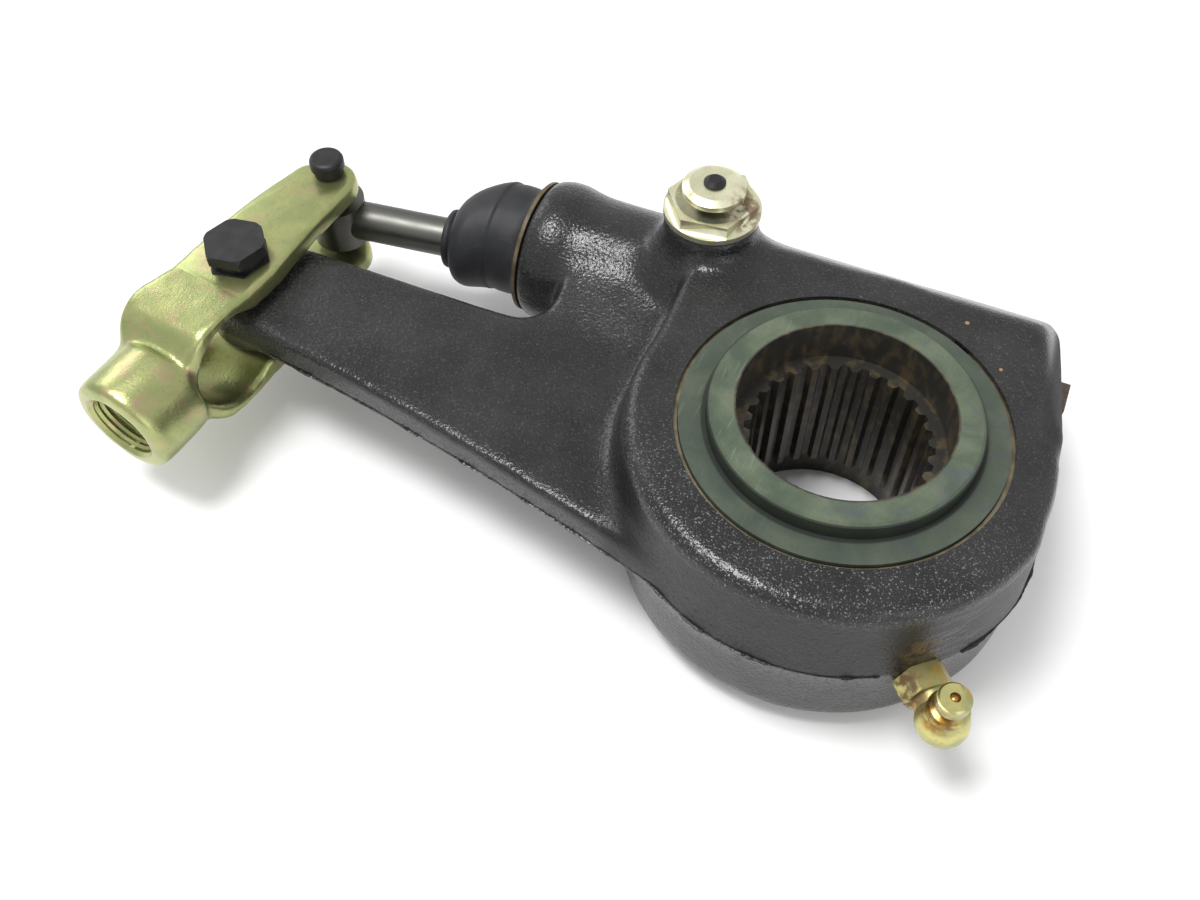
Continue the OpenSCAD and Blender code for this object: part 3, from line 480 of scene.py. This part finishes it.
NODE_PAINT = {
    "housing": CASTING,
    "arm_bushing": BRONZE,
    "gear_thrust_washer": PHOSPHATE,
    "gear_retaining_ring": RETAINER,
    "front_gear_seal": RUBBER,
    "rear_gear_seal": RUBBER,
    "worm_seal": RUBBER,
    "boot": RUBBER,
    "boot_ring": TAN_RING,
    "pawl_plug": PLUG_ZINC,
    "pawl_gasket": FIBRE,
    "pawl_spring": SPRING_STEEL,
    "grease_fitting": NIPPLE_ZINC,
    "grease_spring": SPRING_STEEL,
    "grease_ball": AMBER_BALL,
    "worm_gear": PHOSPHATE,
    "worm": WORM_STEEL,
    "ratchet_sleeve": WORM_STEEL,
    "piston_ring": SPRING_STEEL,
    "piston": GUNMETAL,
    "piston_pin": SPRING_STEEL,
    "actuator_rod": GUNMETAL,
    "pawl": BLACK_OXIDE,
    "pull_button": PLUG_ZINC,
    "clevis": YELLOW_ZINC,
    "large_pin": BLACK_OXIDE,
    "large_pin_clip": SPRING_STEEL,
    "small_pin": BLACK_OXIDE,
    "small_pin_clip": SPRING_STEEL,
}

WELD = 0.002 * MM
ROUND_SIDES = 128
HUB_SIDES = 192


# Mesh tools
def to_object(name, form, paint=None):
    mesh = bpy.data.meshes.new(name)
    form.to_mesh(mesh)
    form.free()
    made = bpy.data.objects.new(name, mesh)
    bpy.context.scene.collection.objects.link(made)
    if paint:
        mesh.materials.append(paint)
    return made


def copy_of(node, name):
    """A welded copy of a CAD node."""
    form = bmesh.new()
    form.from_mesh(NODES[node].data)
    bmesh.ops.remove_doubles(form, verts=form.verts, dist=WELD)
    return to_object(name, form)


def turn_along(direction):
    """The turn that takes Z to a direction."""
    return direction.to_track_quat("Z", "Y").to_matrix().to_4x4()


def cylinder(radius, start, end, sides=ROUND_SIDES, end_radius=None):
    """A closed cylinder or cone between two points, all in mm."""
    start = Vector(start) * MM
    end = Vector(end) * MM
    along = end - start
    form = bmesh.new()
    bmesh.ops.create_cone(
        form,
        cap_ends=True,
        segments=sides,
        radius1=radius * MM,
        radius2=(end_radius or radius) * MM,
        depth=along.length,
        matrix=Matrix.Translation((start + end) / 2) @ turn_along(along),
    )
    return to_object("tool", form)


def upright(radius, centre, start_z, end_z, sides=ROUND_SIDES, end_radius=None):
    """A cylinder or cone along Z, all in mm."""
    return cylinder(radius, (*centre, start_z), (*centre, end_z), sides, end_radius)


def slab(outline, low, high):
    """A plate between two heights from its outline, all in mm."""
    form = bmesh.new()
    floor = [form.verts.new(Vector((*at, low)) * MM) for at in outline]
    roof = [form.verts.new(Vector((*at, high)) * MM) for at in outline]
    form.faces.new(floor)
    form.faces.new(roof)
    for k in range(len(outline)):
        form.faces.new((floor[k - 1], floor[k], roof[k], roof[k - 1]))
    bmesh.ops.recalc_face_normals(form, faces=form.faces)
    return to_object("tool", form)


def hexagon(centre, across_flats, turn):
    """Corners of a hexagon in mm, with its first corner at an angle in degrees."""
    angles = [math.radians(turn + 60 * k) for k in range(6)]
    reach = across_flats / math.sqrt(3)
    return [(centre[0] + reach * math.cos(a), centre[1] + reach * math.sin(a)) for a in angles]


def bake(piece):
    """Turns the piece with its modifiers into a plain mesh."""
    shown = piece.evaluated_get(bpy.context.evaluated_depsgraph_get())
    mesh = bpy.data.meshes.new_from_object(shown)
    old = piece.data
    piece.modifiers.clear()
    piece.data = mesh
    bpy.data.meshes.remove(old)


def combine(piece, tools, operation):
    """Adds or cuts solids, and removes them afterwards."""
    for tool in tools:
        change = piece.modifiers.new("combine", "BOOLEAN")
        change.operation = operation
        change.solver = "MANIFOLD"
        change.object = tool
    bake(piece)
    for tool in tools:
        bpy.data.objects.remove(tool)


def voxel(piece, size):
    change = piece.modifiers.new("voxel", "REMESH")
    change.mode = "VOXEL"
    change.voxel_size = size * MM * DOWN_SAMPLE
    bake(piece)


def points_of(mesh):
    points = np.empty(len(mesh.vertices) * 3)
    mesh.vertices.foreach_get("co", points)
    return points.reshape(-1, 3)


def normals_of(mesh):
    normals = np.empty(len(mesh.vertices) * 3)
    mesh.vertices.foreach_get("normal", normals)
    return normals.reshape(-1, 3)


def set_points(mesh, points):
    mesh.vertices.foreach_set("co", points.ravel())
    mesh.update()


def relax(piece, steps, share, fill=False):
    """Moves each vertex towards its neighbours' mean, or with fill only outwards, into inner corners."""
    mesh = piece.data
    edges = np.empty(len(mesh.edges) * 2, int)
    mesh.edges.foreach_get("vertices", edges)
    ends = edges.reshape(-1, 2)
    count = len(mesh.vertices)
    degree = np.bincount(edges, minlength=count)
    points = points_of(mesh)
    for _ in range(steps):
        total = np.zeros_like(points)
        for axis in range(3):
            total[:, axis] = np.bincount(ends[:, 0], points[ends[:, 1], axis], count)
            total[:, axis] += np.bincount(ends[:, 1], points[ends[:, 0], axis], count)
        move = (total / degree[:, None] - points) * share
        if fill:
            normals = normals_of(mesh)
            out = np.sum(move * normals, axis=1, keepdims=True)
            move = np.where(out > 0, out * normals, 0)
        points += move
        set_points(mesh, points)


def waviness(piece, depth, size):
    """Slow unevenness of a casting or forging, in mm."""
    points = points_of(piece.data)
    normals = normals_of(piece.data)
    waves = [noise.noise(Vector(p) / (size * MM)) for p in points]
    points += normals * (np.array(waves) * depth * MM)[:, None]
    set_points(piece.data, points)


def merge_flats(piece):
    """Joins the level triangles that a cut or a filling leaves into whole faces."""
    form = bmesh.new()
    form.from_mesh(piece.data)
    bmesh.ops.remove_doubles(form, verts=form.verts, dist=WELD)
    flat = math.radians(0.3)
    bmesh.ops.dissolve_limit(form, angle_limit=flat, verts=form.verts, edges=form.edges)
    form.to_mesh(piece.data)
    form.free()


def crisp(piece, angle):
    """Smooth shading with sharp edges above an angle in degrees, and level faces flat."""
    level = 0.99999
    for face in piece.data.polygons:
        face.use_smooth = abs(face.normal.z) < level
    piece.data.set_sharp_from_angle(angle=math.radians(angle))


def dress(piece, paint, body, slot, *nodes):
    """Gives a finished piece its material and body, and hides the CAD nodes it stands for; the slot is not
    used.
    """
    piece.data.materials.clear()
    piece.data.materials.append(paint)
    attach(piece, body)
    if nodes:
        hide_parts(*nodes)


def smoothstep(values, low, high):
    share = np.clip((values - low) / (high - low), 0, 1)
    return share * share * (3 - 2 * share)


# Geometry node trees
def start_tree(name, sizes):
    """A tree that takes a mesh and named sizes, with the wires of both."""
    tree = bpy.data.node_groups.new(name, "GeometryNodeTree")
    tree.interface.new_socket("Geometry", in_out="INPUT", socket_type="NodeSocketGeometry")
    for size in sizes:
        tree.interface.new_socket(size, in_out="INPUT", socket_type="NodeSocketFloat")
    tree.interface.new_socket("Geometry", in_out="OUTPUT", socket_type="NodeSocketGeometry")
    source = tree.nodes.new("NodeGroupInput")
    return tree, [Wire(tree, socket) for socket in source.outputs[: len(sizes) + 1]]


def end_tree(tree, shape, paint):
    plain = add_node(tree, "GeometryNodeRealizeInstances", values={"Geometry": shape})
    done = add_node(tree, "GeometryNodeSetMaterial", values={"Geometry": plain, "Material": paint})
    sink = tree.nodes.new("NodeGroupOutput")
    tree.links.new(done.socket, sink.inputs[0])


def grow(piece, tree, sizes):
    """Runs a node tree on the piece with its named sizes, and leaves a plain mesh."""
    change = piece.modifiers.new("grow", "NODES")
    change.node_group = tree
    for socket in tree.interface.items_tree:
        if socket.name in sizes:
            change[socket.identifier] = sizes[socket.name]
    bake(piece)


def flash_tree(paint):
    """A ragged strip along a line."""
    tree, (line, step, width, grain) = start_tree("flash", ("Step", "Width", "Grain"))
    curve = add_node(tree, "GeometryNodeMeshToCurve", values={"Mesh": line})
    values = {"Curve": curve, "Length": step}
    curve = add_node(tree, "GeometryNodeResampleCurve", {"mode": "LENGTH"}, values)
    curve = add_node(tree, "GeometryNodeSetCurveNormal", {"mode": "Z_UP"}, {"Curve": curve})
    place = add_node(tree, "GeometryNodeInputPosition")
    values = {"Vector": place, "Scale": grain, "Detail": 4.0, "Roughness": 0.6}
    ragged = (0.35 + add_node(tree, "ShaderNodeTexNoise", values=values).step(0.4, 0.75)) * width
    rim = add_node(tree, "GeometryNodeCurvePrimitiveCircle", values={"Resolution": 6, "Radius": 1.0})
    rim = add_node(tree, "GeometryNodeTransform", values={"Geometry": rim, "Scale": (1.0, 0.3, 1.0)})
    values = {"Curve": curve, "Profile Curve": rim, "Scale": ragged, "Fill Caps": True}
    end_tree(tree, add_node(tree, "GeometryNodeCurveToMesh", values=values), paint)
    return tree


def thread_tree(paint):
    """A ridge along a helix."""
    tree, (_, radius, pitch, length, depth) = start_tree("thread", ("Radius", "Pitch", "Length", "Depth"))
    values = {
        "Resolution": 64,
        "Rotations": length / pitch,
        "Start Radius": radius,
        "End Radius": radius,
        "Height": length,
    }
    helix = add_node(tree, "GeometryNodeCurveSpiral", values=values)
    values = {"Resolution": 4, "Radius": depth}
    ridge = add_node(tree, "GeometryNodeCurvePrimitiveCircle", values=values)
    values = {"Curve": helix, "Profile Curve": ridge, "Fill Caps": True}
    end_tree(tree, add_node(tree, "GeometryNodeCurveToMesh", values=values), paint)
    return tree


# Places on the object, in mm
def on_grease(radius, z=GREASE_Z):
    return (radius * math.cos(GREASE_ANGLE), radius * math.sin(GREASE_ANGLE), z)


def on_worm(x):
    return (x, WORM_Y, 0.0)


def on_clevis(across, along, z=0.0):
    """A point given in the clevis's own directions from the large pin."""
    c = math.cos(CLEVIS_ANGLE)
    s = math.sin(CLEVIS_ANGLE)
    return (LARGE_PIN[0] + s * across + c * along, LARGE_PIN[1] - c * across + s * along, z)


# Housing casting with the flash of its parting line
def housing_hollows(gap):
    """The housing's bores: wider by a gap and flush at their ends to fill them, or with none to cut them."""
    run = 0 if gap else RUN_OUT
    return [
        upright(CHAMBER_R + gap, GEAR_AXIS, CHAMBER_FLOOR_Z - gap, FACE_Z + run, HUB_SIDES),
        upright(REAR_BORE_R + gap, GEAR_AXIS, -FACE_Z - run, CHAMBER_FLOOR_Z + BORE_OVERLAP, HUB_SIDES),
        cylinder(TUBE_BORE_R + gap, on_worm(TUBE_OPEN_X - run), on_worm(TUBE_BORE_END_X + gap)),
        cylinder(WORM_BORE_R + gap, on_worm(WORM_BORE_X), on_worm(TUBE_CLOSED_X + run)),
        cylinder(SEAL_POCKET_R + gap, on_worm(SEAL_POCKET_X - gap), on_worm(TUBE_CLOSED_X + run)),
        upright(PAWL_BORE_R + gap, PAWL_AXIS, 0, PAWL_BORE_TOP),
        upright(PLUG_BORE_R + gap, PAWL_AXIS, PLUG_BORE_Z - gap, BOSS_TOP + run),
        upright(EYE_R + gap, LARGE_PIN, -ARM_Z - run, ARM_Z + run),
        cylinder(GREASE_BORE_R + gap, on_grease(GREASE_BORE_START), on_grease(GREASE_SEAT + run)),
    ]


def flatten_right_side(piece, depth):
    """Draws the hub in by a depth in mm on the side of the worm's square end."""
    points = points_of(piece.data)
    x, y, z = points.T / MM
    share = smoothstep(x, *FLAT_X) * smoothstep(y, *FLAT_BACK_Y) * smoothstep(y, *FLAT_FRONT_Y)
    share = share * smoothstep(z, *FLAT_Z)
    points[:, 0] -= depth * MM * share
    set_points(piece.data, points)


def parting_line(piece):
    """The closed casting's outline at the parting plane, without the places that are machined."""
    form = bmesh.new()
    form.from_mesh(piece.data)
    bmesh.ops.bisect_plane(
        form,
        geom=[*form.verts, *form.edges, *form.faces],
        plane_co=(0, 0, 0),
        plane_no=(0, 0, 1),
        clear_inner=True,
        clear_outer=True,
    )
    spot = Vector(on_grease(GREASE_SEAT, 0))
    machined = []
    for v in form.verts:
        at = v.co / MM
        tube = at.y > TUBE_SIDE_Y or (at.x < TUBE_MOUTH_X and at.y > TUBE_MOUTH_Y)
        ends = at.x < ARM_END_X or (at.x > WORM_END_X and at.y > WORM_END_Y)
        if tube or ends or (at - spot).length < SPOT_REACH:
            machined.append(v)
    bmesh.ops.delete(form, geom=machined, context="VERTS")
    return to_object("parting_flash", form)


def make_housing():
    piece = copy_of("housing", "housing_casting")
    combine(piece, housing_hollows(gap=0.5), "UNION")
    voxel(piece, size=0.85)
    relax(piece, steps=3, share=0.5)
    relax(piece, steps=60, share=0.6, fill=True)
    voxel(piece, size=0.85)
    relax(piece, steps=5, share=0.5)
    flatten_right_side(piece, depth=1.3)
    waviness(piece, depth=0.12, size=9)
    flash = parting_line(piece)
    grow(flash, flash_tree(CASTING), {"Step": 0.5 * MM, "Width": 0.6 * MM, "Grain": 150.0})
    crisp(flash, angle=30)
    dress(flash, CASTING, "housing", "casting")
    cuts = housing_hollows(gap=0)
    cuts.append(upright(RING_GROOVE_R, GEAR_AXIS, *RING_GROOVE_Z, HUB_SIDES))
    cuts.append(upright(SEAL_GROOVE_R, GEAR_AXIS, *SEAL_GROOVE_Z, HUB_SIDES))
    cuts.append(cylinder(SPOT_FACE_R, on_grease(GREASE_SEAT), on_grease(GREASE_SEAT + SPOT_FACE_RUN)))
    combine(piece, cuts, "DIFFERENCE")
    crisp(piece, angle=40)
    dress(piece, CASTING, "housing", "casting", "housing")


# Clevis forging: the prongs' far edge, across and along the clevis
PRONG_FAR_EDGE = [
    (-6.0, 34),
    (-8.0, 32),
    (-9.7, 22.6),
    (-10.6, 16.4),
    (-11.2, 9.8),
    (-11.5, 1.5),
    (-11.4, -10),
    (-12.2, -15),
    (-13.0, -19),
    (-8.0, -19),
    (-5.0, 0),
]
PRONG_FIELD = [(-30, PRONG_START), (30, PRONG_START), (30, 60), (-30, 60)]


def lower_bend(piece, share):
    """Brings the bend nearer to the level of the prongs' outer faces."""
    points = points_of(piece.data)
    z = points[:, 2] / MM
    high = np.maximum(np.abs(z) - PRONG_Z, 0)
    points[:, 2] -= np.sign(z) * share * high * MM
    set_points(piece.data, points)


def make_clevis():
    end = -BOSS_REACH
    tall = PRONG_Z + CLEVIS_RUN
    small_pin = on_clevis(0, PIN_SPACING)[:2]
    far_edge = [on_clevis(*at)[:2] for at in PRONG_FAR_EDGE]
    field = [on_clevis(*at)[:2] for at in PRONG_FIELD]
    piece = copy_of("clevis", "clevis_forging")
    fills = [
        upright(LARGE_FILL_R, LARGE_PIN, HOLE_FILL_Z, PRONG_Z),
        upright(LARGE_FILL_R, LARGE_PIN, -HOLE_FILL_Z, -PRONG_Z),
        upright(SMALL_FILL_R, small_pin, HOLE_FILL_Z, PRONG_Z),
        upright(SMALL_FILL_R, small_pin, -HOLE_FILL_Z, -PRONG_Z),
        cylinder(BOSS_FILL_R, on_clevis(0, BOSS_FILL_START), on_clevis(0, end)),
        slab(far_edge, PRONG_INSIDE_Z, PRONG_Z),
        slab(far_edge, -PRONG_Z, -PRONG_INSIDE_Z),
    ]
    combine(piece, fills, "UNION")
    voxel(piece, size=0.55)
    relax(piece, steps=4, share=0.5)
    relax(piece, steps=200, share=0.7, fill=True)
    lower_bend(piece, share=0.7)
    voxel(piece, size=0.55)
    relax(piece, steps=16, share=0.5)
    waviness(piece, depth=0.10, size=5)
    mouth = [on_clevis(0, end + along) for along in THREAD_MOUTH]
    cuts = [
        upright(LARGE_HOLE_R, LARGE_PIN, -tall, tall),
        upright(SMALL_HOLE_R, small_pin, -tall, tall),
        cylinder(THREAD_HOLE_R, on_clevis(0, THREAD_HOLE_START), on_clevis(0, end - CLEVIS_RUN)),
        cylinder(THREAD_HOLE_R, *mouth, end_radius=THREAD_MOUTH_R),
        slab(field, PRONG_Z - PRONG_SKIM, tall),
        slab(field, -tall, PRONG_SKIM - PRONG_Z),
    ]
    combine(piece, cuts, "DIFFERENCE")
    crisp(piece, angle=38)
    dress(piece, YELLOW_ZINC, "clevis", "yellow_zinc", "clevis")


def make_thread():
    """The thread's ridges in the push rod's hole."""
    length = 15.5
    sizes = {"Radius": 7.85 * MM, "Pitch": 1.41 * MM, "Length": length * MM, "Depth": 0.55 * MM}
    piece = to_object("push_rod_thread", bmesh.new())
    grow(piece, thread_tree(YELLOW_ZINC), sizes)
    along = Vector(on_clevis(0, -1)) - Vector(on_clevis(0, 0))
    start = Vector(on_clevis(0, THREAD_INSET - BOSS_REACH + length)) * MM
    piece.data.transform(Matrix.Translation(start) @ turn_along(along))
    crisp(piece, angle=30)
    dress(piece, YELLOW_ZINC, "clevis", "yellow_zinc")


# Pin, plug and nipple
def make_large_pin():
    """The large pin, with its flat hexagon raised on a collar."""
    piece = copy_of("large_pin", "hexagon_pin")
    ring = upright(HEAD_REACH, LARGE_PIN, *[PRONG_Z + z for z in COLLAR_Z])
    collar = upright(COLLAR_R, LARGE_PIN, *[PRONG_Z + z for z in COLLAR_RUN_Z])
    combine(ring, [collar], "DIFFERENCE")
    combine(piece, [ring], "DIFFERENCE")
    top = max(points_of(piece.data)[:, 2]) / MM
    combine(piece, [upright(DISH_FILL_R, LARGE_PIN, top - DISH_FILL_H, top)], "UNION")
    merge_flats(piece)
    crisp(piece, angle=20)
    dress(piece, BLACK_OXIDE, "clevis", "black_steel", "large_pin")


def make_plug():
    """The pawl's plug, with sharp corners on its hexagon."""
    piece = copy_of("pawl_plug", "hexagon_plug")
    corners = slab(hexagon(PAWL_AXIS, PLUG_FLATS, PLUG_TURN), *PLUG_Z)
    combine(corners, [upright(PLUG_CORE_R, PAWL_AXIS, *PLUG_CORE_Z)], "DIFFERENCE")
    combine(piece, [corners], "UNION")
    crisp(piece, angle=20)
    dress(piece, PLUG_ZINC, "housing", "pale_zinc", "pawl_plug")


def make_nipple():
    """The grease fitting, with a wide flat head on its nipple."""
    piece = copy_of("grease_fitting", "elbow_nipple")
    base = on_grease(GREASE_SEAT + NIPPLE_REACH)
    centre = base[:2]
    top = base[2] + NIPPLE_TOP
    rim = top - NIPPLE_RIM_H
    head = [
        upright(NIPPLE_HEAD_R, centre, top - NIPPLE_HEAD_H, rim),
        upright(NIPPLE_HEAD_R, centre, rim - NIPPLE_OVERLAP, top, end_radius=NIPPLE_RIM_R),
    ]
    combine(piece, head, "UNION")
    cuts = [
        upright(NIPPLE_BORE_R, centre, base[2], top - NIPPLE_BORE_GAP),
        upright(NIPPLE_MOUTH_R, centre, top - NIPPLE_MOUTH_RUN, top + NIPPLE_MOUTH_RUN),
    ]
    combine(piece, cuts, "DIFFERENCE")
    crisp(piece, angle=18)
    dress(piece, NIPPLE_ZINC, "housing", "pale_zinc", "grease_fitting")


def make_spring(node, travel):
    """A copy of a spring's wire with its own mesh, dressed as spring steel; it is not shortened, and the
    travel in mm has no effect.
    """
    piece = copy_of(node, node + "_wire")
    points = points_of(piece.data)
    corners = [points.min(axis=0), points.max(axis=0)]
    length = corners[1][2] - corners[0][2]
    crisp(piece, angle=40)
    dress(piece, SPRING_STEEL, "housing", "spring_steel", node)
    1 - travel * MM / length
    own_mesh(piece)


# Boot: x and radius of its rings, from the lip on the rod to the foot on the housing and back inside
BOOT_LIP = [(-106.8, 6.2), (-106.7, 6.5), (-106.4, 6.95), (-105.9, 7.15), (-105.3, 7.15), (-105.0, 6.8)]
BOOT_NECK = [(-104.8, 6.75), (-104.6, 7.1), (-104.3, 8.0), (-104.0, 8.75), (-103.5, 9.6), (-103.0, 10.25)]
BOOT_DOME = [(-102.0, 11.15), (-101.0, 11.8), (-100.0, 12.25), (-98.5, 12.7), (-97.0, 13.05), (-95.6, 13.3)]
BOOT_FOLD = [(-94.7, 13.45), (-94.3, 13.4), (-94.0, 13.15), (-93.6, 13.1)]
BOOT_SKIRT = [(-92.0, 13.3), (-90.0, 13.3), (-88.2, 13.15), (-87.0, 13.1), (-86.4, 13.4)]
BOOT_FOOT = [(-86.2, 14.3), (-86.0, 14.9), (-85.6, 15.1), (-84.5, 15.1)]
BOOT_INSIDE = [(-84.5, 11.7), (-94.0, 11.6), (-98.5, 11.1), (-101.0, 10.1), (-102.5, 9.0), (-103.3, 7.6)]
BOOT_GRIP = [(-103.8, 5.35), (-106.8, 5.35)]
BOOT_GRIP_SHIFT = -0.42
BOOT_BEND_X = (-104.8, -93.5)
BOOT_SIDES = 96


def boot_ring(form, x, radius, shift):
    """One ring of the boot, which follows the rod at its lip and the worm's tube at its foot."""
    share = float(smoothstep(np.array(x), *BOOT_BEND_X))
    on_rod = SMALL_PIN[1] + (x - SMALL_PIN[0]) * math.tan(ROD_SLOPE) + shift
    centre = Vector((x, on_rod + (WORM_Y - on_rod) * share, 0)) * MM
    tilt = ROD_SLOPE * (1 - share)
    side = Vector((-math.sin(tilt), math.cos(tilt), 0))
    up = Vector((0, 0, 1))
    angles = [2 * math.pi * k / BOOT_SIDES for k in range(BOOT_SIDES)]
    return [form.verts.new(centre + radius * MM * (math.cos(a) * side + math.sin(a) * up)) for a in angles]


def make_boot():
    form = bmesh.new()
    outside = BOOT_LIP + BOOT_NECK + BOOT_DOME + BOOT_FOLD + BOOT_SKIRT + BOOT_FOOT
    rings = [boot_ring(form, x, radius, 0.0) for x, radius in outside + BOOT_INSIDE]
    rings += [boot_ring(form, x, radius, BOOT_GRIP_SHIFT) for x, radius in BOOT_GRIP]
    for first, second in zip(rings, rings[1:] + rings[:1]):
        for k in range(BOOT_SIDES):
            n = (k + 1) % BOOT_SIDES
            form.faces.new((first[k], first[n], second[n], second[k]))
    bmesh.ops.recalc_face_normals(form, faces=form.faces)
    piece = to_object("rubber_boot", form, RUBBER)
    crisp(piece, angle=50)
    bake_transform(piece)
    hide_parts("boot")


for node, paint in NODE_PAINT.items():
    NODES[node].data.materials.clear()
    NODES[node].data.materials.append(paint)

make_housing()
make_clevis()
make_large_pin()
make_plug()
make_nipple()
make_thread()
make_spring("pawl_spring", travel=1.75)
make_spring("grease_spring", travel=0.95)
make_boot()


# Stage, light and camera, in metres and watts
FLOOR_REACH = 3.0
LIGHTS = {
    "key": {"place": (-0.28, -0.14, 0.92), "power": 7.2, "size": 0.30},
    "left": {"place": (-0.90, 0.40, 0.50), "power": 1.6, "size": 0.4},
    "fill": {"place": (0.80, -0.60, 0.50), "power": 2.5, "size": 0.8},
}
WORLD_STRENGTH = 0.78
CAMERA_PLACE = (0.013267, -0.148542, 0.207729)
CAMERA_RIGHT = (0.916879, 0.399158, -0.002376)
CAMERA_UP = (-0.322251, 0.743709, 0.585706)
CAMERA_BACK = (0.235557, -0.536255, 0.81052)
SENSOR_WIDTH = 36.0
LENS = 35.872
CLIP_START = 0.01


def make_floor():
    form = bmesh.new()
    bmesh.ops.create_grid(form, x_segments=1, y_segments=1, size=FLOOR_REACH)
    bmesh.ops.translate(form, verts=form.verts, vec=(0, 0, CAD_BOUNDS[0].z))
    paint = Paint("floor_white", Base_Color=FLOOR_WHITE, Roughness=0.9)
    to_object("floor", form, paint.material)


def make_light(name, place, power, size):
    lamp = bpy.data.lights.new(name, "AREA")
    lamp.energy = power
    lamp.size = size
    made = bpy.data.objects.new(name, lamp)
    made.location = place
    made.rotation_euler = Vector(place).to_track_quat("Z", "Y").to_euler()
    bpy.context.scene.collection.objects.link(made)


def make_camera():
    lens = bpy.data.cameras.new("camera")
    lens.sensor_fit = "HORIZONTAL"
    lens.sensor_width = SENSOR_WIDTH
    lens.lens = LENS
    lens.clip_start = CLIP_START
    made = bpy.data.objects.new("camera", lens)
    turn = Matrix((CAMERA_RIGHT, CAMERA_UP, CAMERA_BACK)).transposed().to_4x4()
    made.matrix_world = Matrix.Translation(CAMERA_PLACE) @ turn
    bpy.context.scene.collection.objects.link(made)
    bpy.context.scene.camera = made


def make_world():
    world = bpy.data.worlds.new("studio")
    world.use_nodes = True
    sky = world.node_tree.nodes["Background"]
    sky.inputs["Color"].default_value = (1, 1, 1, 1)
    sky.inputs["Strength"].default_value = WORLD_STRENGTH
    bpy.context.scene.world = world
    bpy.context.scene.view_settings.view_transform = "Standard"


make_floor()
for name, settings in LIGHTS.items():
    make_light(name, **settings)
make_camera()
make_world()
